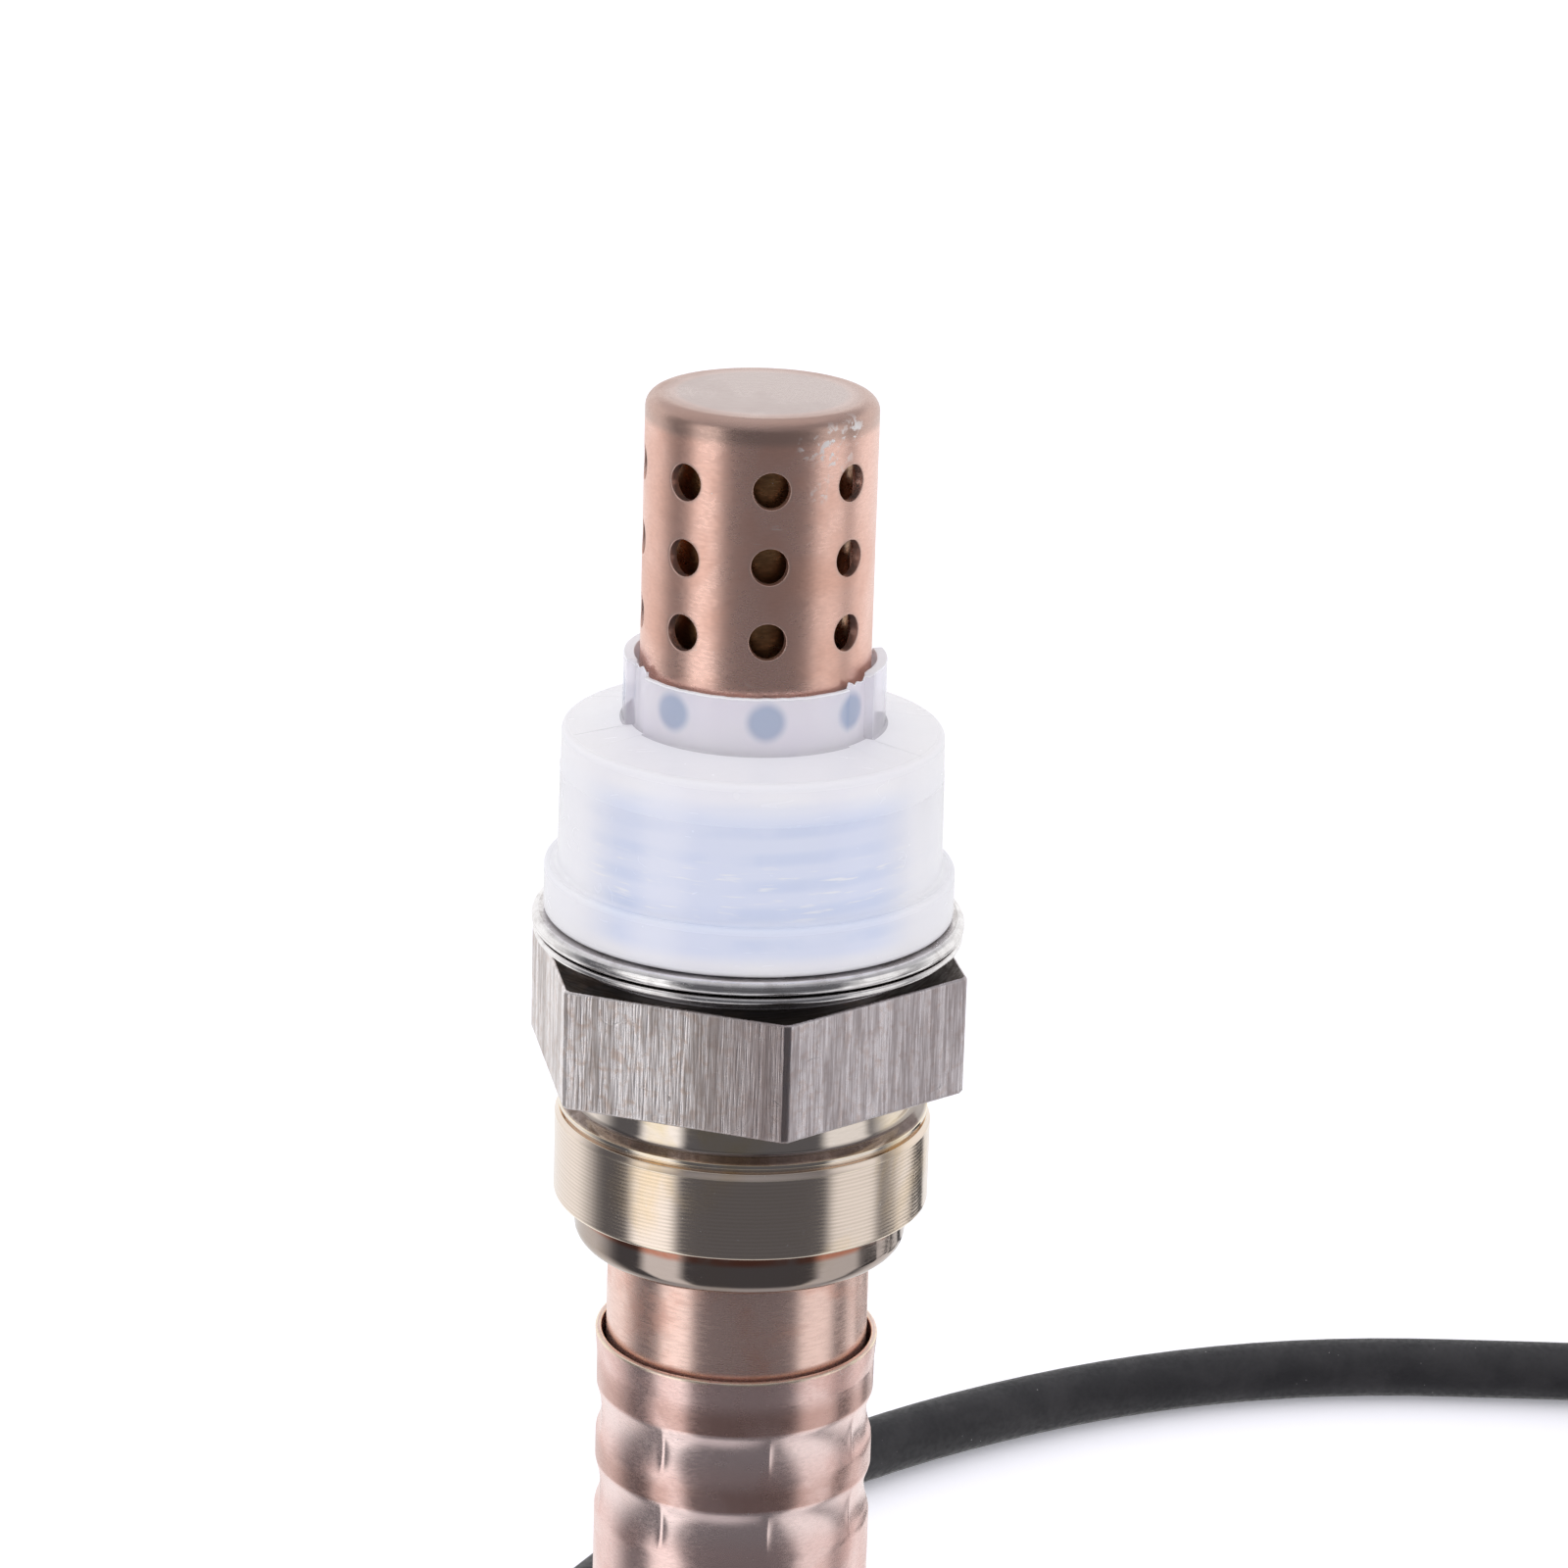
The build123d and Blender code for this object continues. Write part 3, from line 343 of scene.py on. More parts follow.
def use(tree, group, **values):
    """Places a group in a tree. Words joined by underscores name its sockets."""
    inputs = {label.replace("_", " "): value for label, value in values.items()}
    return add(tree, "ShaderNodeGroup", inputs, node_tree=group)


def mask(tree, group, **values):
    """The mask that a group puts out."""
    return use(tree, group, **values).outputs["mask"]


def noise(tree, place, scale, detail, **settings):
    """The height of a noise texture."""
    inputs = {"Vector": place, "Scale": scale, "Detail": detail, **settings}
    return add(tree, "ShaderNodeTexNoise", inputs).outputs[0]


def tilt(tree, shader, height, relief):
    """Tilts the surface by a height, whose relief is in thousandths of a mm."""
    bump = add(tree, "ShaderNodeBump", {"Height": height, "Distance": relief / 1e6, "Strength": 1.0})
    tree.links.new(bump.outputs[0], shader.inputs["Normal"])


# %% [markdown]
# ### Turning marks
# A lathe tool leaves fine rings. They run round the axis, so the pattern changes fast with radius
# and height, and slowly round the piece. A share of the rings is regular, as the tool's feed is.

# %% Group: turning marks
PER_METRE = 1000.0    # from "per mm" to Object coordinates, which are metres
turning, given, put = open_group(
    "turning marks", {"lines per mm": 5.0, "regular": 0.0, "drift": 0.4}, ["height", "tone"]
)
axes = object_place(turning)[1]
squares = times(turning, axes[0], axes[0]), times(turning, axes[1], axes[1])
across = sum_of(turning, "SQRT", sum_of(turning, "ADD", *squares))
density = times(turning, given["lines per mm"], PER_METRE)
drift = times(turning, given["drift"], PER_METRE)
ringed = add(turning, "ShaderNodeCombineXYZ", {
    0: sum_of(turning, "MULTIPLY_ADD", across, density, times(turning, axes[0], drift)),
    1: times(turning, axes[2], density),
    2: times(turning, axes[1], drift),
}).outputs[0]
rings = noise(turning, ringed, 1.0, 2.5)
feed = sum_of(turning, "ADD", axes[2], across)
phase = times(turning, feed, times(turning, density, 6.283))
feed = sum_of(turning, "SINE", phase)
feed = sum_of(turning, "MULTIPLY_ADD", feed, 0.25, 0.5)
height = add(turning, "ShaderNodeMix", {0: given["regular"], 2: rings, 3: feed}).outputs[0]
turning.links.new(height, put["height"])
turning.links.new(between(turning, height, 0.3, 0.7), put["tone"])

# %% [markdown]
# ### Grinding marks
# The flats of the hexagon are broached or ground along the axis, which leaves upright lines of
# uneven depth, with short breaks.

# %% Group: grinding marks
grinding, given, put = open_group("grinding marks", {"lines per mm": 6.0}, ["height", "tone"])
place = here(grinding)
density = times(grinding, given["lines per mm"], PER_METRE)
stretch = add(grinding, "ShaderNodeCombineXYZ", {0: density, 1: density, 2: 420.0}).outputs[0]
lined = add(grinding, "ShaderNodeVectorMath", {0: place, 1: stretch}, operation="MULTIPLY").outputs[0]
fine = noise(grinding, lined, 1.0, 3.0)
broad = noise(grinding, lined, 0.17, 1.0)
height = add(grinding, "ShaderNodeMix", {0: 0.4, 2: fine, 3: broad}).outputs[0]
grinding.links.new(height, put["height"])
grinding.links.new(between(grinding, height, 0.36, 0.64), put["tone"])

# %% [markdown]
# ### Clouds, specks, scratches and worn ridges
# Stains and heat tints are soft clouds. Dust and small dents are specks. Handling leaves short
# scratches in a few directions. Ridges, which the mesh marks with an attribute, are rubbed bright.

# %% Group: clouds
clouds, given, put = open_group("clouds", {"size mm": 3.0, "low": 0.4, "high": 0.6}, ["mask"])
place = here(clouds)
scale = sum_of(clouds, "DIVIDE", PER_METRE, given["size mm"])
soft = noise(clouds, place, scale, 4.0, Roughness=0.55, Distortion=0.4)
clouds.links.new(between(clouds, soft, given["low"], given["high"]), put["mask"])

# %% Group: specks
specks, given, put = open_group("specks", {"per mm": 2.0, "share": 0.1, "size": 0.3}, ["mask"])
place = here(specks)
scale = times(specks, given["per mm"], PER_METRE)
cell = add(specks, "ShaderNodeTexVoronoi", {"Vector": place, "Scale": scale})
chance = add(specks, "ShaderNodeSeparateColor", {0: cell.outputs["Color"]}).outputs
chosen = sum_of(specks, "LESS_THAN", chance[0], given["share"])
width = times(specks, given["size"], sum_of(specks, "MULTIPLY_ADD", chance[1], 0.7, 0.3))
away = sum_of(specks, "DIVIDE", cell.outputs["Distance"], width)
near = sum_of(specks, "SUBTRACT", 1.0, away, clamp=True)
specks.links.new(times(specks, chosen, between(specks, near, 0.0, 0.5)), put["mask"])

# %% Group: scratches
scratches, given, put = open_group("scratches", {"per mm": 1.0, "width": 0.03, "share": 0.5}, ["mask"])
place = here(scratches)
scale = times(scratches, given["per mm"], PER_METRE)
found = 0.0
for number, turn in enumerate(((0.3, 0.9, 0.4), (1.2, -0.5, 2.0), (-0.7, 0.4, 1.1))):
    laid = add(scratches, "ShaderNodeMapping", {
        "Vector": place, "Rotation": turn, "Scale": (0.05, 1.5, 1.5), "Location": (number, 0, 0),
    }).outputs[0]
    wavy = noise(scratches, laid, scale, 0.0)
    gone = noise(scratches, place, times(scratches, scale, 0.45 + 0.1 * number), 2.0)
    off_line = sum_of(scratches, "ABSOLUTE", sum_of(scratches, "SUBTRACT", wavy, 0.5))
    beside = sum_of(scratches, "DIVIDE", off_line, given["width"])
    line = sum_of(scratches, "SUBTRACT", 1.0, beside, clamp=True)
    least = sum_of(scratches, "SUBTRACT", 0.75, times(scratches, given["share"], 0.3))
    kept = between(scratches, gone, least, 0.78)
    found = sum_of(scratches, "MAXIMUM", found, times(scratches, line, kept))
scratches.links.new(found, put["mask"])

# %% Group: worn ridges
worn, given, put = open_group("worn ridges", {"amount": 0.8}, ["mask"])
ridge = add(worn, "ShaderNodeAttribute", attribute_name="ridge").outputs["Fac"]
patchy = mask(worn, clouds, size_mm=0.9, low=0.3, high=0.6)
rubbed = times(worn, ridge, sum_of(worn, "MULTIPLY_ADD", patchy, 0.6, 0.4))
worn.links.new(times(worn, rubbed, given["amount"], clamp=True), put["mask"])
print("groups:", [group.name for group in bpy.data.node_groups])

# %% [markdown]
# ## Steel finishes
# Every steel on the sensor is the same tree with its own values: a clean and a stained colour in
# clouds, marks left by the tool, specks of dust, scratches, and ridges rubbed bright. The marks
# also tilt the surface through a Bump node and change how sharp the reflections are.

# %% Steel
def finish(name):
    """A new material, its node tree and its Principled BSDF."""
    made = bpy.data.materials.new(name)
    made.use_nodes = True
    return made, made.node_tree, made.node_tree.nodes["Principled BSDF"]


def steel(name, clean, stained, shine, marks, relief, stain=(4.0, 0.42, 0.62), streak=0.35,
          dust=(3.0, 0.08, 0.22), scratch=0.3, ridge=(1.0, 0.95, 0.9), wear=0.8, metal=1.0):
    """Steel whose shine is (roughness where clean, roughness where marked), relief in thousandths
    of a mm, and marks a group with its values. A skin of oxide takes a little off metal."""
    made, tree, shader = finish(name)
    shader.inputs["Metallic"].default_value = metal
    mark = use(tree, marks[0], **marks[1]).outputs
    cloud = mask(tree, clouds, size_mm=stain[0], low=stain[1], high=stain[2])
    colour = mixed(tree, cloud, (*clean, 1), (*stained, 1))
    deep = tuple(0.45 * value for value in stained)
    colour = mixed(tree, times(tree, mark["tone"], streak), colour, (*deep, 1))
    rubbed = mask(tree, worn, amount=wear)
    colour = mixed(tree, rubbed, colour, (*ridge, 1))
    fleck = mask(tree, specks, per_mm=dust[0], share=dust[1], size=dust[2])
    scored = mask(tree, scratches, per_mm=0.9, width=0.02, share=scratch)
    pale = sum_of(tree, "MAXIMUM", fleck, times(tree, scored, 0.7))
    colour = mixed(tree, times(tree, pale, 0.7), colour, (0.95, 0.92, 0.9, 1))
    tree.links.new(colour, shader.inputs["Base Color"])
    rough = between(tree, mark["tone"], 0.0, 1.0, shine[0], shine[1])
    rough = sum_of(tree, "MULTIPLY_ADD", cloud, 0.06, rough)
    rough = sum_of(tree, "MULTIPLY_ADD", pale, 0.15, rough, clamp=True)
    tree.links.new(rough, shader.inputs["Roughness"])
    raised = sum_of(tree, "MULTIPLY_ADD", scored, -0.5, mark["height"])
    tilt(tree, shader, raised, relief)
    return made


# %% The steels of this sensor
ROUND_FINE = (turning, {"lines_per_mm": 8.0, "drift": 3.0})
DRAWN = (turning, {"lines_per_mm": 7.0, "drift": 1.2})
protector_bronze = steel(
    "satin bronze-tinted steel", (0.92, 0.60, 0.51), (0.84, 0.50, 0.40), (0.25, 0.31), ROUND_FINE, 7,
    stain=(6.0, 0.4, 0.65), streak=0.10, dust=(3.2, 0.05, 0.2), scratch=0.2, ridge=(0.80, 0.58, 0.50),
    wear=0.6, metal=0.9,
)
inner_tube_bronze = steel(
    "blued inner tube steel", (0.60, 0.33, 0.15), (0.34, 0.17, 0.08), (0.25, 0.4), ROUND_FINE, 12,
)
thread_steel = steel(
    "cut thread steel", (0.62, 0.60, 0.62), (0.50, 0.48, 0.50), (0.22, 0.36), DRAWN, 8, streak=0.2,
)
hex_steel = steel(
    "broached hexagon steel", (0.92, 0.87, 0.88), (0.80, 0.66, 0.60), (0.24, 0.42),
    (grinding, {"lines_per_mm": 9.0}), 34, stain=(0.5, 0.44, 0.72), streak=0.8,
    dust=(7.0, 0.36, 0.15), scratch=0.4, ridge=(0.9, 0.85, 0.84), wear=0.7,
)
# The top face of the hexagon, under the gasket's rim, is coloured near black.
hex_top_steel = steel(
    "near-black top of the hexagon", (0.085, 0.07, 0.062), (0.17, 0.12, 0.09), (0.4, 0.6), DRAWN, 8,
    stain=(2.0, 0.5, 0.7), ridge=(0.5, 0.45, 0.42), wear=0.5,
)
neck_steel = steel(
    "polished straw-tinted steel", (0.80, 0.71, 0.64), (0.78, 0.65, 0.46), (0.07, 0.13), DRAWN, 2,
    stain=(6.0, 0.46, 0.66), streak=0.08, dust=(2.6, 0.05, 0.2), ridge=(1.0, 0.88, 0.66),
)
collar_steel = steel(
    "turned straw-tinted steel", (0.84, 0.72, 0.63), (0.86, 0.68, 0.48), (0.11, 0.20),
    (turning, {"lines_per_mm": 4.6, "regular": 0.6, "drift": 0.15}), 5,
    stain=(6.0, 0.44, 0.64), streak=0.22, dust=(3.0, 0.07, 0.2), ridge=(0.95, 0.84, 0.70),
)
gasket_silver = steel(
    "rolled gasket steel", (0.84, 0.81, 0.81), (0.66, 0.62, 0.61), (0.14, 0.24),
    (turning, {"lines_per_mm": 6.0, "drift": 1.5}), 5, stain=(2.0, 0.4, 0.6), streak=0.2,
    dust=(4.0, 0.06, 0.2), ridge=(0.97, 0.95, 0.95),
)
sleeve_bronze = steel(
    "drawn pink-brown sleeve steel", (0.92, 0.66, 0.58), (0.86, 0.52, 0.43), (0.21, 0.28), DRAWN, 2,
    stain=(4.0, 0.42, 0.66), streak=0.08, dust=(3.0, 0.03, 0.2), ridge=(0.95, 0.75, 0.6), metal=0.92,
)
cover_bronze = steel(
    "drawn copper-brown cover steel", (0.90, 0.66, 0.62), (0.82, 0.53, 0.48), (0.20, 0.27), ROUND_FINE, 2,
    stain=(5.0, 0.4, 0.66), streak=0.05, dust=(3.0, 0.04, 0.22), ridge=(1.0, 0.86, 0.66), metal=0.94,
)
spring_bright = steel(
    "spring steel", (0.62, 0.58, 0.54), (0.5, 0.46, 0.42), (0.2, 0.35), ROUND_FINE, 5,
)
tinned = steel(
    "tinned brass", (0.72, 0.70, 0.66), (0.62, 0.58, 0.5), (0.22, 0.36), ROUND_FINE, 4,
)
print("steels:", len(bpy.data.materials))

# %% [markdown]
# ## Plastic, rubber and ceramic finishes
# The moulded and pressed pieces share one tree too: a colour that drifts a little in clouds, a
# fine grain that tilts the surface, and dust.

# %% Moulded finishes
def moulded(name, colour, drifted, shine, grain, relief, dust=0.05, pale=(0.8, 0.78, 0.76)):
    """A plastic, rubber or ceramic: shine is a range of roughness and grain is its cells per mm."""
    made, tree, shader = finish(name)
    cloud = mask(tree, clouds, size_mm=4.0, low=0.35, high=0.65)
    tone = mixed(tree, cloud, (*colour, 1), (*drifted, 1))
    fleck = mask(tree, specks, per_mm=2.5, share=dust, size=0.2)
    rubbed = mask(tree, worn, amount=0.25)
    light = times(tree, sum_of(tree, "MAXIMUM", fleck, rubbed), 0.35)
    tree.links.new(mixed(tree, light, tone, (*pale, 1)), shader.inputs["Base Color"])
    place = here(tree)
    skin = noise(tree, place, grain * PER_METRE, 2.0)
    tree.links.new(between(tree, skin, 0.3, 0.7, *shine), shader.inputs["Roughness"])
    tilt(tree, shader, skin, relief)
    return made


black_sleeving = moulded("black cable sleeving", (0.022, 0.021, 0.024), (0.034, 0.032, 0.035),
                         (0.42, 0.6), 2.2, 30, dust=0.03)
shell_grey = moulded("dark grey connector plastic", (0.045, 0.046, 0.05), (0.06, 0.06, 0.063),
                     (0.38, 0.55), 4.0, 12, dust=0.06)
print("materials:", len(bpy.data.materials))

# %% Dress the CAD nodes that stay
def dress(material, *names):
    """Gives CAD nodes a material. Their meshes are left as they are."""
    for name in names:
        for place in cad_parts[name].material_slots:
            place.material = material
    print(material.name, "on", len(names), "nodes")


dress(inner_tube_bronze, "inner_protector")
dress(spring_bright, "disc_spring", "holder_clip", "contacts")
dress(tinned, "crimp_barrels", "terminals", "element_seal")
dress(shell_grey, "connector_housing", "connector_latch")
for name, colour, drifted, shine, grain, relief, nodes in [
    ("black seal rubber", (0.02, 0.02, 0.021), (0.03, 0.03, 0.03), (0.55, 0.75), 3.0, 20, ["grommet"]),
    ("shrunk black tube", (0.015, 0.015, 0.016), (0.025, 0.025, 0.026), (0.35, 0.5), 1.2, 40,
     ["sleeve_ferrule"]),
    ("white wire insulation", (0.72, 0.71, 0.68), (0.66, 0.64, 0.6), (0.35, 0.5), 2.0, 8,
     ["heater_wires", "connector_heater_wires"]),
    ("black wire insulation", (0.025, 0.025, 0.026), (0.04, 0.04, 0.04), (0.35, 0.5), 2.0, 8,
     ["signal_wire", "connector_signal_wire"]),
    ("grey wire insulation", (0.28, 0.28, 0.29), (0.24, 0.24, 0.25), (0.35, 0.5), 2.0, 8,
     ["ground_wire", "connector_ground_wire"]),
    ("silicone wire seal", (0.62, 0.17, 0.04), (0.55, 0.14, 0.03), (0.5, 0.65), 2.0, 14,
     ["connector_seal", "mouth_seal"]),
    ("terminal retainer plastic", (0.09, 0.16, 0.30), (0.08, 0.14, 0.26), (0.35, 0.5), 4.0, 8,
     ["terminal_retainer"]),
    ("steatite ceramic", (0.72, 0.69, 0.62), (0.66, 0.62, 0.54), (0.45, 0.7), 5.0, 14,
     ["front_ceramic", "rear_ceramic", "contact_holder"]),
    ("pressed talc", (0.42, 0.42, 0.40), (0.34, 0.34, 0.33), (0.7, 0.9), 6.0, 25, ["talc_packing"]),
    ("zirconia element", (0.24, 0.23, 0.24), (0.55, 0.53, 0.5), (0.4, 0.6), 6.0, 6, ["sensor_element"]),
    ("porous vent membrane", (0.75, 0.75, 0.74), (0.66, 0.66, 0.65), (0.6, 0.8), 8.0, 16,
     ["vent_filter"]),
]:
    dress(moulded(name, colour, drifted, shine, grain, relief), *nodes)
lead.data.materials.append(black_sleeving)

# %% [markdown]
# ## Outer protector
# A drawn can with eight columns of four gas holes. The wall is cut into as many cells as it has
# holes. In a cell one parameter goes round the hole and the other from the cell's border to the
# hole's rim, through the wall and back along the inner wall, so a cell is one grid, and cells meet
# at the same points along their borders.

# %% Outer protector
CAN_RADIUS = 6.24
CAN_WALL = 0.5
HOLE_RADIUS = 1.0
HOLE_PITCH = 4.1
HOLE_TOP_ROW = 25.25
HOLE_TURN = 6.0
PER_SIDE = 16


def hole_cell(half_width, half_height, hole, rim, wall, per_side):
    """Places (rows, around, 3) as (across, up, depth) in mm of one cell with a hole in its middle.

    The border is a rectangle and the rim a circle, and a row between them is a share of both. The
    rim is a quarter circle that turns into the wall, and the inner half mirrors the outer."""
    side = np.linspace(-1, 1, per_side, endpoint=False)
    one = np.ones_like(side)
    border = np.concatenate([
        np.stack([side, -one], 1), np.stack([one, side], 1),
        np.stack([-side, one], 1), np.stack([-one, -side], 1),
    ]) * (half_width, half_height)
    way = np.arctan2(border[:, 1], border[:, 0])
    circle = np.stack([np.cos(way), np.sin(way)], 1)
    share = np.array([1.0, 0.7, 0.45, 0.25, 0.1])[:, None, None]
    flat = border * share + circle * (hole + rim) * (1 - share)
    turn = np.linspace(0, math.pi / 2, 5)
    lip = circle * (hole + rim * (1 - np.sin(turn)))[:, None, None]
    depth = np.concatenate([np.zeros(5), rim * (1 - np.cos(turn))])
    outer = np.concatenate([flat, lip])
    rows = np.concatenate([outer, outer[::-1]])
    depths = np.concatenate([depth, wall - depth[::-1]])
    ridge = np.concatenate([np.zeros(5), np.ones(5), np.ones(5), np.zeros(5)])
    return rows, depths, ridge


def perforated(radius, wall, count, turn, levels, half_height, hole, rim, per_side):
    """Grids of a round wall with `count` holes at each level. Across becomes an angle."""
    half_width = math.pi * radius / count
    rows, depths, ridge = hole_cell(half_width, half_height, hole, rim, wall, per_side)
    made = []
    for level in levels:
        for column in range(count):
            middle = math.radians(turn) + 2 * math.pi * column / count
            angle = rows[:, :, 0] / radius + middle
            places = carried(radius - depths[:, None], rows[:, :, 1] + level, angle)
            made.append((places, np.broadcast_to(ridge[:, None], places.shape[:2]), False, True))
    return made


levels = HOLE_TOP_ROW - HOLE_PITCH * np.arange(4)
can = perforated(CAN_RADIUS, CAN_WALL, 8, HOLE_TURN, levels, HOLE_PITCH / 2, HOLE_RADIUS, 0.05, PER_SIDE)
can_angle = columns(8 * PER_SIDE, HOLE_TURN + 22.5)
top_edge = HOLE_TOP_ROW + HOLE_PITCH / 2
bottom_edge = levels[-1] - HOLE_PITCH / 2
bore = CAN_RADIUS - CAN_WALL
crown = divided(soften([
    (CAN_RADIUS, top_edge, 0), (CAN_RADIUS, 29.0, 1.4), (0, 29.0, 0), (0, 28.5, 0),
    (bore, 28.5, 0.9), (bore, top_edge, 0),
], steps=9), 0.7, closed=False)
foot = soften([
    (bore, bottom_edge, 0), (bore, 7.2), (6.74, 7.2), (6.74, 7.7), (CAN_RADIUS, 7.7),
    (CAN_RADIUS, bottom_edge, 0),
])
can.append((*turned(crown, can_angle), False, True))
can.append((*turned(foot, can_angle), False, True))
protector = piece("protector_can", can, replaces=["outer_protector"])
protector.data.materials.append(protector_bronze)

# %% [markdown]
# ### Crown and shoulder of the protector
# The upper shoulder is painted darker, a painted shade, and the flat crown is painted a greyer, paler
# tone, a painted reflection. Knocks have scuffed the shoulder at one side.

# %% Painted shade on the shoulder, painted reflection on the crown, scuffs
def painted(material, mask, colour, share=1.0, roughness=None):
    """Lays a share of a colour over a finish where the mask is 1, and can move its roughness."""
    tree = material.node_tree
    if share < 1:
        mask = times(tree, mask, share)
    shader = tree.nodes["Principled BSDF"]
    base = shader.inputs["Base Color"].links[0].from_socket
    tree.links.new(mixed(tree, mask, base, (*colour, 1)), shader.inputs["Base Color"])
    if roughness is not None:
        rough = shader.inputs["Roughness"].links[0].from_socket
        blend = add(tree, "ShaderNodeMix", {0: mask, 2: rough, 3: roughness}).outputs[0]
        tree.links.new(blend, shader.inputs["Roughness"])


def near_spot(tree, place, spot, reach, core=0.2):
    """1 at a spot in mm and 0 beyond its reach."""
    spot = [value / 1000 for value in spot]
    away = add(tree, "ShaderNodeVectorMath", {0: place, 1: spot}, operation="DISTANCE").outputs[1]
    return between(tree, away, reach / 1000, core * reach / 1000)


tree = protector_bronze.node_tree
place, axes = object_place(tree)
flat = add(tree, "ShaderNodeCombineXYZ", {0: axes[0], 1: axes[1], 2: 0.0}).outputs[0]
radius = add(tree, "ShaderNodeVectorMath", {0: flat}, operation="LENGTH").outputs[1]
level = axes[2]
# Painted shade: the upper shoulder of the can is painted darker.
painted_shoulder_shade = times(tree, between(tree, level, 0.0274, 0.0280), between(tree, radius, 0.0046, 0.0051))
painted(protector_bronze, painted_shoulder_shade, (0.50, 0.35, 0.30), 0.75)
# Painted reflection: the flat crown is painted a greyer, paler tone.
painted_crown_reflection = times(tree, between(tree, level, 0.0286, 0.0289), between(tree, radius, 0.0056, 0.0043))
painted(protector_bronze, painted_crown_reflection, (0.62, 0.51, 0.48))
spots = [(3.9, -4.9, 27.3), (4.9, -3.9, 28.0), (2.6, -5.7, 27.6), (3.2, -5.4, 25.2)]
spotted = 0.0
for spot, reach in zip(spots, (1.9, 1.2, 1.0, 0.9)):
    spotted = sum_of(tree, "MAXIMUM", spotted, near_spot(tree, place, spot, reach))
scuff = mask(tree, clouds, size_mm=0.42, low=0.52, high=0.60)
nick = mask(tree, clouds, size_mm=1.4, low=0.38, high=0.52)
scuff = times(tree, spotted, times(tree, scuff, nick))
painted(protector_bronze, scuff, (0.97, 0.93, 0.93), roughness=0.5)
print("nodes in the protector's tree:", len(tree.nodes))

# %% [markdown]
# ## Housing
# The housing is one turned piece. Its outline is carried round the axis, and two stretches of it
# aren't round: on the hexagon the radius follows the six flats, and on the thread it follows a
# ridge that climbs one pitch a turn.

# %% Radius of the hexagon and of the thread
HEX_FLATS = 22.0
HEX_CORNER = 12.6
HEX_TURN = 10.8
THREAD_RADIUS = 8.93
THREAD_PITCH = 1.5
THREAD_DEPTH = 0.86


def hexagon(angle, inset):
    """Distance to a flat over the cosine of the angle from the flat's middle, cut off at the
    corners and drawn in by inset."""
    off = (np.degrees(angle) - HEX_TURN) % 60 - 30
    return np.minimum(HEX_FLATS / 2 / np.cos(np.radians(off)), HEX_CORNER) - inset


def thread(angle, height):
    """Crest radius less the depth of a blunt V. The V's place is height over pitch less the share
    of a turn, so the groove climbs, and the depth fades in above the seat."""
    place = (height / THREAD_PITCH - angle / (2 * math.pi)) % 1
    off_crest = np.abs(place - 0.5) * 2
    groove = np.clip((off_crest - 0.16) / 0.62, 0, 1)
    groove = groove + 0.06 * np.sin(2 * math.pi * groove)
    fade = np.clip((height - 0.1) / 0.9, 0, 1)
    cut = THREAD_RADIUS - THREAD_DEPTH * groove * fade * fade * (3 - 2 * fade)
    return np.minimum(cut, THREAD_RADIUS - 0.8 + (9.7 - height))


# %% Housing
lower = divided(soften([
    (7.34, -16.98, 0), (7.34, -19.18, 0.1), (9.2, -19.18, 1.5), (9.2, -16.43, 0.12),
    (10.38, -16.43, 0.16), (10.38, -11.83, 0.06), (10.2, -11.48, 0.05), (9.95, -11.46, 0.02),
    (9.95, -11.23, 0.02),
    (10.2, -11.23, 0.06), (10.2, -10.98, 0.05), (9.36, -10.74, 0.3), (9.26, -8.78, 0.2), (9.62, -8.78, 0),
], steps=7), 0.5, closed=False)
hexed = np.array([
    (1.3, -8.78), (0.5, -8.78), (0.16, -8.78), (0.08, -8.758), (0.022, -8.70), (0.0, -8.62), (0.0, -8.45),
    (0.0, -5.4), (0.0, -2.41), (0.0, -2.24), (0.022, -2.16), (0.08, -2.102), (0.16, -2.08), (0.4, -2.08),
    (0.8, -2.08),
])
seat = soften([
    (10.18, -2.08, 0), (10.1, -2.08, 0.1), (10.1, -1.28, 0.12), (8.1, -1.28, 0.15), (8.1, -0.42, 0.2),
    (8.93, -0.02, 0.03), (8.93, 0.04, 0),
])
threaded = np.linspace(0.06, 9.66, 108)
upper = divided(soften([
    (8.06, 9.69, 0), (7.95, 9.7, 0), (6.28, 9.7, 0.12), (6.28, 7.7), (6.78, 7.7), (6.78, 6.7),
    (4.55, 6.7), (4.55, 3.12), (6.6, 3.12), (6.6, -15.68), (8.2, -15.68), (8.2, -16.98), (7.35, -16.98, 0),
]), 2.0, closed=False)
corners = [HEX_TURN + 60 * side for side in range(6)]
house_angle = columns(288, HEX_TURN, corners, [-1.0, -0.81, -0.5, 0.5, 0.81, 1.0])[None, :]
house = np.concatenate([
    carried(radius, height, house_angle) for radius, height in [
        (lower[:, 0:1], lower[:, 1:2]),
        (hexagon(house_angle, hexed[:, 0:1]), hexed[:, 1:2]),
        (seat[:, 0:1], seat[:, 1:2]),
        (thread(house_angle, threaded[:, None]), threaded[:, None]),
        (upper[:, 0:1], upper[:, 1:2]),
    ]
])
ridge_rows = np.concatenate([
    lower[:, 2], (hexed[:, 0] > 0) & (hexed[:, 0] < 0.16), seat[:, 2], np.zeros(len(threaded)),
    upper[:, 2],
])
NECK, COLLAR, THREAD, HEX, HEX_TOP = range(5)
zones = np.full(len(house), THREAD)
on_collar = (lower[:, 1] < -11.4) & (lower[:, 1] > -16.4)
zones[: len(lower)] = np.where(on_collar, COLLAR, NECK)
zones[len(lower) - 1 : len(lower) + len(hexed) - 1] = HEX
